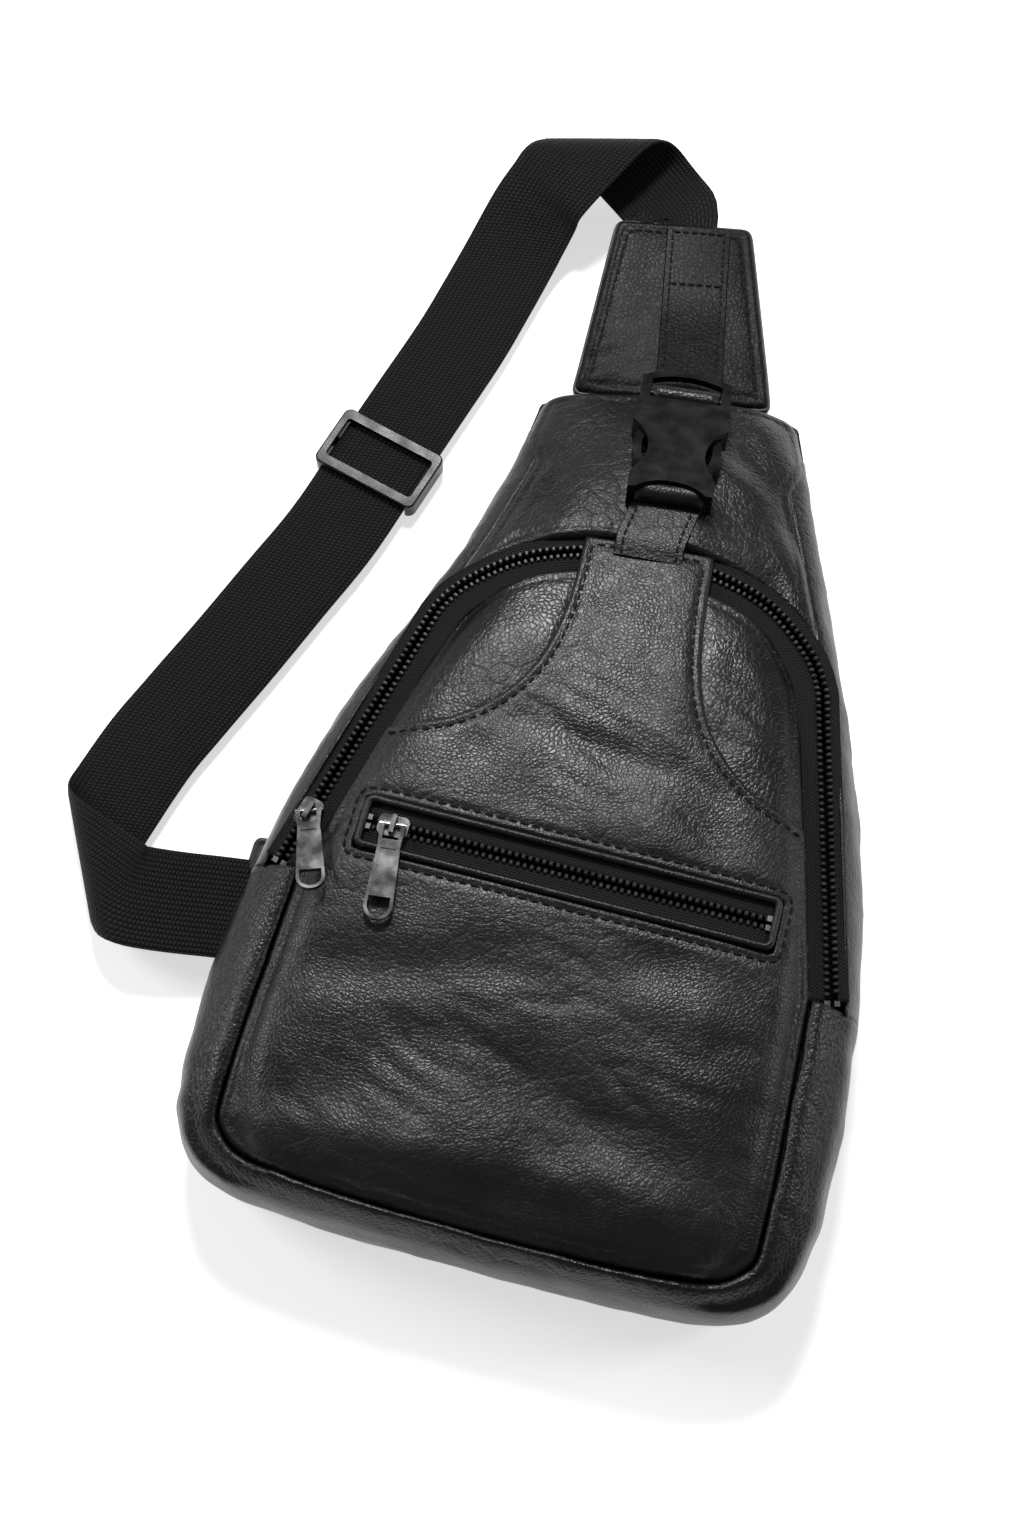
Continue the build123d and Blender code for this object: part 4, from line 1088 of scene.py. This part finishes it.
def leather_grain():
    """Pebbles with fine wrinkles between them, and a slow mottling of the dye."""
    group, come, go = new_group(
        "leather_grain",
        [("Vector", "NodeSocketVector", None), ("Pebble Size", "NodeSocketFloat", 900.0),
         ("Pebble Depth", "NodeSocketFloat", 1.0), ("Crease Depth", "NodeSocketFloat", 1.0)],
        [("Height", "NodeSocketFloat"), ("Mottle", "NodeSocketFloat"), ("Pebble Tone", "NodeSocketFloat")],
    )
    link = group.links.new
    twist = group.nodes.new("ShaderNodeTexNoise")
    twist.inputs["Scale"].default_value = 60.0
    twist.inputs["Detail"].default_value = 3.0
    link(come.outputs["Vector"], twist.inputs["Vector"])
    bend = group.nodes.new("ShaderNodeVectorMath")
    bend.operation = "MULTIPLY_ADD"
    link(twist.outputs["Color"], bend.inputs[0])
    bend.inputs[1].default_value = (0.006, 0.006, 0.006)
    link(come.outputs["Vector"], bend.inputs[2])
    pebbles = group.nodes.new("ShaderNodeTexVoronoi")
    pebbles.feature = "DISTANCE_TO_EDGE"
    link(bend.outputs[0], pebbles.inputs["Vector"])
    link(come.outputs["Pebble Size"], pebbles.inputs["Scale"])
    soft = math_node(group, "POWER", math_node(group, "MULTIPLY", pebbles.outputs["Distance"], 2.4,
                                               True), 0.6)
    creases = group.nodes.new("ShaderNodeTexVoronoi")
    creases.feature = "DISTANCE_TO_EDGE"
    creases.inputs["Scale"].default_value = 165.0
    creases.inputs["Randomness"].default_value = 1.0
    link(bend.outputs[0], creases.inputs["Vector"])
    sharp = math_node(group, "POWER", math_node(group, "MULTIPLY", creases.outputs["Distance"], 5.0,
                                                True), 0.5)
    slow = group.nodes.new("ShaderNodeTexNoise")
    slow.inputs["Scale"].default_value = 28.0
    slow.inputs["Detail"].default_value = 5.0
    link(come.outputs["Vector"], slow.inputs["Vector"])
    where = math_node(group, "SUBTRACT", math_node(group, "MULTIPLY", slow.outputs["Fac"], 2.6), 0.8,
                      True)
    deep = math_node(group, "MULTIPLY", math_node(group, "MULTIPLY", sharp, where),
                     come.outputs["Crease Depth"])
    fine = math_node(group, "MULTIPLY", soft, come.outputs["Pebble Depth"])
    link(math_node(group, "ADD", deep, fine), go.inputs["Height"])
    link(slow.outputs["Fac"], go.inputs["Mottle"])
    # the colour's tone: lighter on the pebbles' tops and darker between them, in slow patches
    link(math_node(group, "MULTIPLY", soft, slow.outputs["Fac"]), go.inputs["Pebble Tone"])
    return group


GRAIN = leather_grain()


# %% A leather finish
def plain_material(name):
    material = bpy.data.materials.new(name)
    material.use_nodes = True
    tree = material.node_tree
    shader = next(n for n in tree.nodes if n.type == "BSDF_PRINCIPLED")
    return material, tree, shader


def ramp(tree, value, low, high, dark, light):
    node = tree.nodes.new("ShaderNodeMapRange")
    node.inputs["From Min"].default_value, node.inputs["From Max"].default_value = low, high
    node.inputs["To Min"].default_value, node.inputs["To Max"].default_value = dark, light
    tree.links.new(value, node.inputs["Value"])
    return node.outputs["Result"]


def tint(tree, value, dark, light):
    node = tree.nodes.new("ShaderNodeMix")
    node.data_type = "RGBA"
    tree.links.new(value, node.inputs["Factor"])
    node.inputs["A"].default_value, node.inputs["B"].default_value = (*dark, 1), (*light, 1)
    return node.outputs["Result"]


def leather(name, dark, light, pebble, pebble_depth, crease_depth, rough, strength=0.9,
            shine=0.42):
    material, tree, shader = plain_material(name)
    place = tree.nodes.new("ShaderNodeTexCoord")
    grain = tree.nodes.new("ShaderNodeGroup")
    grain.node_tree = GRAIN
    tree.links.new(place.outputs["Object"], grain.inputs["Vector"])
    grain.inputs["Pebble Size"].default_value = pebble
    grain.inputs["Pebble Depth"].default_value = pebble_depth
    grain.inputs["Crease Depth"].default_value = crease_depth
    tree.links.new(tint(tree, grain.outputs["Pebble Tone"], dark, light), shader.inputs["Base Color"])
    tree.links.new(ramp(tree, grain.outputs["Mottle"], 0.3, 0.7, rough - 0.07, rough + 0.08),
                   shader.inputs["Roughness"])
    bump = tree.nodes.new("ShaderNodeBump")
    bump.inputs["Strength"].default_value = strength
    bump.inputs["Distance"].default_value = 0.00024
    tree.links.new(grain.outputs["Height"], bump.inputs["Height"])
    tree.links.new(bump.outputs["Normal"], shader.inputs["Normal"])
    shader.inputs["Specular IOR Level"].default_value = shine
    shader.inputs["Coat Roughness"].default_value = 0.35
    shader.inputs["Coat Weight"].default_value = 0.05
    return material


LEATHER = leather("black_leather", (0.003, 0.003, 0.0032), (0.008, 0.008, 0.0085), 640.0, 0.42,
                  0.85, 0.37)
# a darker copy of the black leather, rougher and less shiny, for the neck and the upper strip: its
# darker colour is painted shade
NECK_LEATHER_WITH_PAINTED_SHADE = leather("neck_leather_painted_shade", (0.002, 0.002, 0.0022), (0.006, 0.006, 0.0064), 640.0, 0.6,
                       0.9, 0.48, shine=0.17)
SMOOTH_LEATHER = leather("yoke_leather", (0.004, 0.004, 0.0042), (0.013, 0.013, 0.0136), 800.0,
                         0.36, 0.7, 0.38)
EDGE_LEATHER = leather("edge_leather", (0.004, 0.004, 0.0045), (0.011, 0.011, 0.012), 1200.0, 0.3,
                       0.2, 0.45, 0.4)


# %% Cloth: webbing, tape and lining
def weave_group():
    """Raised yarns: Across and Along are in millimetres, and the output is their height."""
    group, come, go = new_group(
        "weave",
        [("Vector", "NodeSocketVector", None), ("Across", "NodeSocketFloat", 1.2),
         ("Along", "NodeSocketFloat", 0.9), ("Shift", "NodeSocketFloat", 0.5)],
        [("Height", "NodeSocketFloat"), ("Lint", "NodeSocketFloat")],
    )
    split = group.nodes.new("ShaderNodeSeparateXYZ")
    group.links.new(come.outputs["Vector"], split.inputs[0])
    u = math_node(group, "DIVIDE", split.outputs["X"], come.outputs["Across"])
    column = math_node(group, "FLOOR", u)
    v = math_node(group, "ADD", math_node(group, "DIVIDE", split.outputs["Y"],
                                          come.outputs["Along"]),
                  math_node(group, "MULTIPLY", column, come.outputs["Shift"]))
    ridge = [math_node(group, "ABSOLUTE", math_node(group, "SINE", math_node(
        group, "MULTIPLY", line, pi))) for line in (u, v)]
    height = math_node(group, "POWER", math_node(group, "MULTIPLY", *ridge), 0.6)
    group.links.new(height, go.inputs["Height"])
    lint = group.nodes.new("ShaderNodeTexNoise")
    lint.inputs["Scale"].default_value = 3.0
    group.links.new(come.outputs["Vector"], lint.inputs["Vector"])
    group.links.new(lint.outputs["Fac"], go.inputs["Lint"])
    return group


WEAVE = weave_group()


def cloth(name, dark, light, across, along, shift, depth, rough, use_uv=True, scale=1000.0):
    material, tree, shader = plain_material(name)
    if use_uv:
        source = tree.nodes.new("ShaderNodeUVMap")
        source.uv_map = "along"
        vector = source.outputs["UV"]
    else:
        source = tree.nodes.new("ShaderNodeTexCoord")
        mapping = tree.nodes.new("ShaderNodeMapping")
        mapping.inputs["Scale"].default_value = (scale, scale, scale)
        tree.links.new(source.outputs["Object"], mapping.inputs["Vector"])
        vector = mapping.outputs["Vector"]
    weave = tree.nodes.new("ShaderNodeGroup")
    weave.node_tree = WEAVE
    tree.links.new(vector, weave.inputs["Vector"])
    for label, value in (("Across", across), ("Along", along), ("Shift", shift)):
        weave.inputs[label].default_value = value
    tree.links.new(tint(tree, weave.outputs["Height"], dark, light), shader.inputs["Base Color"])
    tree.links.new(ramp(tree, weave.outputs["Lint"], 0.3, 0.7, rough - 0.05, rough + 0.08),
                   shader.inputs["Roughness"])
    bump = tree.nodes.new("ShaderNodeBump")
    bump.inputs["Strength"].default_value = 0.9
    bump.inputs["Distance"].default_value = depth
    tree.links.new(weave.outputs["Height"], bump.inputs["Height"])
    tree.links.new(bump.outputs["Normal"], shader.inputs["Normal"])
    shader.inputs["Specular IOR Level"].default_value = 0.2
    return material


WEBBING = cloth("black_webbing", (0.0015, 0.0015, 0.002), (0.009, 0.009, 0.010), 1.55, 1.15, 0.5,
                0.00035, 0.62)
TAPE = cloth("zip_tape_cloth", (0.003, 0.003, 0.0035), (0.014, 0.014, 0.015), 0.8, 1.1, 0.5, 0.0002,
             0.7)
LINING = cloth("lining_cloth", (0.01, 0.01, 0.011), (0.03, 0.03, 0.032), 0.6, 0.6, 0.5, 0.0001, 0.8,
               use_uv=False)
THREAD = cloth("sewing_thread", (0.002, 0.002, 0.002), (0.012, 0.012, 0.0125), 0.35, 0.5, 0.5,
               0.0001, 0.5, use_uv=False)


# %% Metal and plastic
def hard(name, dark, light, rough, metallic, grain_scale, grain_depth, coat=0.0):
    material, tree, shader = plain_material(name)
    place = tree.nodes.new("ShaderNodeTexCoord")
    speck = tree.nodes.new("ShaderNodeTexNoise")
    speck.inputs["Scale"].default_value = grain_scale
    speck.inputs["Detail"].default_value = 6.0
    tree.links.new(place.outputs["Object"], speck.inputs["Vector"])
    smear = tree.nodes.new("ShaderNodeTexNoise")
    smear.inputs["Scale"].default_value = 160.0
    smear.inputs["Detail"].default_value = 4.0
    tree.links.new(place.outputs["Object"], smear.inputs["Vector"])
    tree.links.new(tint(tree, smear.outputs["Fac"], dark, light), shader.inputs["Base Color"])
    tree.links.new(ramp(tree, smear.outputs["Fac"], 0.35, 0.7, rough - 0.06, rough + 0.1),
                   shader.inputs["Roughness"])
    bump = tree.nodes.new("ShaderNodeBump")
    bump.inputs["Strength"].default_value = 0.5
    bump.inputs["Distance"].default_value = grain_depth
    tree.links.new(speck.outputs["Fac"], bump.inputs["Height"])
    tree.links.new(bump.outputs["Normal"], shader.inputs["Normal"])
    shader.inputs["Metallic"].default_value = metallic
    shader.inputs["Specular IOR Level"].default_value = 0.32
    shader.inputs["Coat Weight"].default_value = coat
    return material


ZIP_METAL = hard("black_nickel", (0.20, 0.20, 0.205), (0.42, 0.42, 0.43), 0.22, 1.0, 2500.0,
                 0.00002)
ZIP_TEETH = hard("moulded_teeth", (0.02, 0.02, 0.021), (0.045, 0.045, 0.047), 0.27, 0.0, 3000.0,
                 0.00002, 0.2)
PLASTIC = hard("buckle_moulding", (0.002, 0.002, 0.0021), (0.005, 0.005, 0.0053), 0.30, 0.0, 2600.0,
               0.00005)

# %% Give every piece its finish and its body
for name in ("main_slider", "main_pull", "pocket_slider", "pocket_pull", "main_stops",
             "pocket_stops"):
    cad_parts[name].data.materials.clear()
    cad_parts[name].data.materials.append(ZIP_METAL)
for name in ("buckle_plug", "buckle_prongs", "buckle_socket", "adjuster"):
    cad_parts[name].data.materials.clear()
    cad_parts[name].data.materials.append(PLASTIC)
for name in ("lining", "back_foam", "pocket_bag", "neck_stiffener"):
    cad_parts[name].data.materials.clear()
    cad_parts[name].data.materials.append(LINING)

DRESS = [
    (front, SMOOTH_LEATHER, "yoke_leather", ["front_panel"]),
    (cheeks[0], LEATHER, "leather", ["cheek_left"]),
    (cheeks[1], LEATHER, "leather", ["cheek_right"]),
    (upper, LEATHER, "leather", ["upper_panel"]),
    (walls[0], LEATHER, "leather", ["side_wall_left"]),
    (walls[1], LEATHER, "leather", ["side_wall_right"]),
    (gusset, LEATHER, "leather", ["lower_gusset"]),
    (end_wall, LEATHER, "leather", []),
    (back, LEATHER, "leather", ["back_panel"]),
    (tape_inner, TAPE, "zip_tape", ["main_tape_inner"]),
    (tape_outer, TAPE, "zip_tape", ["main_tape_outer"]),
    (teeth_in, ZIP_TEETH, "zip_teeth", ["main_teeth_inner"]),
    (teeth_out, ZIP_TEETH, "zip_teeth", ["main_teeth_outer"]),
    (pocket_tapes[0], TAPE, "zip_tape", ["pocket_tape_upper"]),
    (pocket_tapes[1], TAPE, "zip_tape", ["pocket_tape_lower"]),
    (pocket_teeth[0], ZIP_TEETH, "zip_teeth", ["pocket_teeth_upper"]),
    (pocket_teeth[1], ZIP_TEETH, "zip_teeth", ["pocket_teeth_lower"]),
    (welt, SMOOTH_LEATHER, "leather", ["pocket_welt"]),
    (strap, WEBBING, "webbing", ["shoulder_strap"]),
    (strip_upper, NECK_LEATHER_WITH_PAINTED_SHADE, "yoke_leather", ["buckle_strap"]),
    (roll_upper, LEATHER, "yoke_leather", []),
    (strip_lower, SMOOTH_LEATHER, "yoke_leather", ["socket_strap"]),
    (roll_lower, LEATHER, "yoke_leather", []),
    (neck_top, NECK_LEATHER_WITH_PAINTED_SHADE, "leather", ["neck_front"]),
    (neck_under, NECK_LEATHER_WITH_PAINTED_SHADE, "leather", ["neck_back"]),
    (neck_pipe, EDGE_LEATHER, "leather", []),
    (tab, EDGE_LEATHER, "edge_leather", ["side_tab"]),
    (yoke_thread, THREAD, "webbing", []), (pocket_thread, THREAD, "webbing", []),
    (strip_thread, THREAD, "webbing", []), (neck_thread, THREAD, "webbing", []),
]
# the roll round the plug's bar goes with the plug, and everything else new with the bag
for piece, material, slot, stands_for in DRESS:
    piece.data.materials.clear()
    piece.data.materials.append(material)
    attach(piece, "buckle_plug" if piece is roll_upper else "bag")
    if stands_for:
        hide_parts(*stands_for)
print(len(DRESS), "new pieces")

# %% [markdown]
# ## Floor, light and camera
# A product picture on white: one strong soft light high behind the bag, so that the leather shows
# its folds, two weaker ones at its sides, and a bright pale floor.

# %% Set the stage
bpy.ops.object.select_all(action="DESELECT")
bpy.ops.mesh.primitive_plane_add(size=8.0, location=(0, 0, -0.0006))
floor = bpy.context.object
floor.name = "floor"
paper, _, paper_shader = plain_material("white_paper")
paper_shader.inputs["Base Color"].default_value = (0.93, 0.93, 0.935, 1)
paper_shader.inputs["Roughness"].default_value = 0.9
paper_shader.inputs["Specular IOR Level"].default_value = 0.1
paper_shader.inputs["Emission Color"].default_value = (1, 1, 1, 1)
paper_shader.inputs["Emission Strength"].default_value = 0.62
floor.data.materials.append(paper)


def soft_light(name, place, aim, size, power):
    data = bpy.data.lights.new(name, "AREA")
    data.shape, data.size, data.energy = "DISK", size, power
    light = bpy.data.objects.new(name, data)
    light.location = place
    light.rotation_euler = (Vector(aim) - Vector(place)).to_track_quat("-Z", "Y").to_euler()
    bpy.context.scene.collection.objects.link(light)


soft_light("key", (-0.30, 0.95, 1.35), (-0.02, -0.03, 0), 0.34, 20)
soft_light("side", (1.2, 0.45, 0.75), (0, 0, 0), 0.4, 4)
soft_light("left", (-1.2, 0.1, 0.8), (0, 0, 0), 0.5, 6)
world = bpy.data.worlds.new("studio")
world.use_nodes = True
world.node_tree.nodes["Background"].inputs["Color"].default_value = (1, 1, 1, 1)
world.node_tree.nodes["Background"].inputs["Strength"].default_value = 0.13
bpy.context.scene.world = world
bpy.context.scene.view_settings.view_transform = "Standard"

# %% Camera
lens = bpy.data.cameras.new("camera")
lens.sensor_fit, lens.sensor_height, lens.lens = "VERTICAL", 24.0, 36.1
camera = bpy.data.objects.new("camera", lens)
azimuth, elevation, reach = radians(15.0), radians(70.0), 0.700
aim = Vector((-0.026, -0.025, 0.020))
camera.location = aim + reach * Vector((sin(azimuth) * cos(elevation),
                                        -cos(azimuth) * cos(elevation), sin(elevation)))
camera.rotation_euler = (aim - camera.location).to_track_quat("-Z", "Y").to_euler()
bpy.context.scene.collection.objects.link(camera)
bpy.context.scene.camera = camera
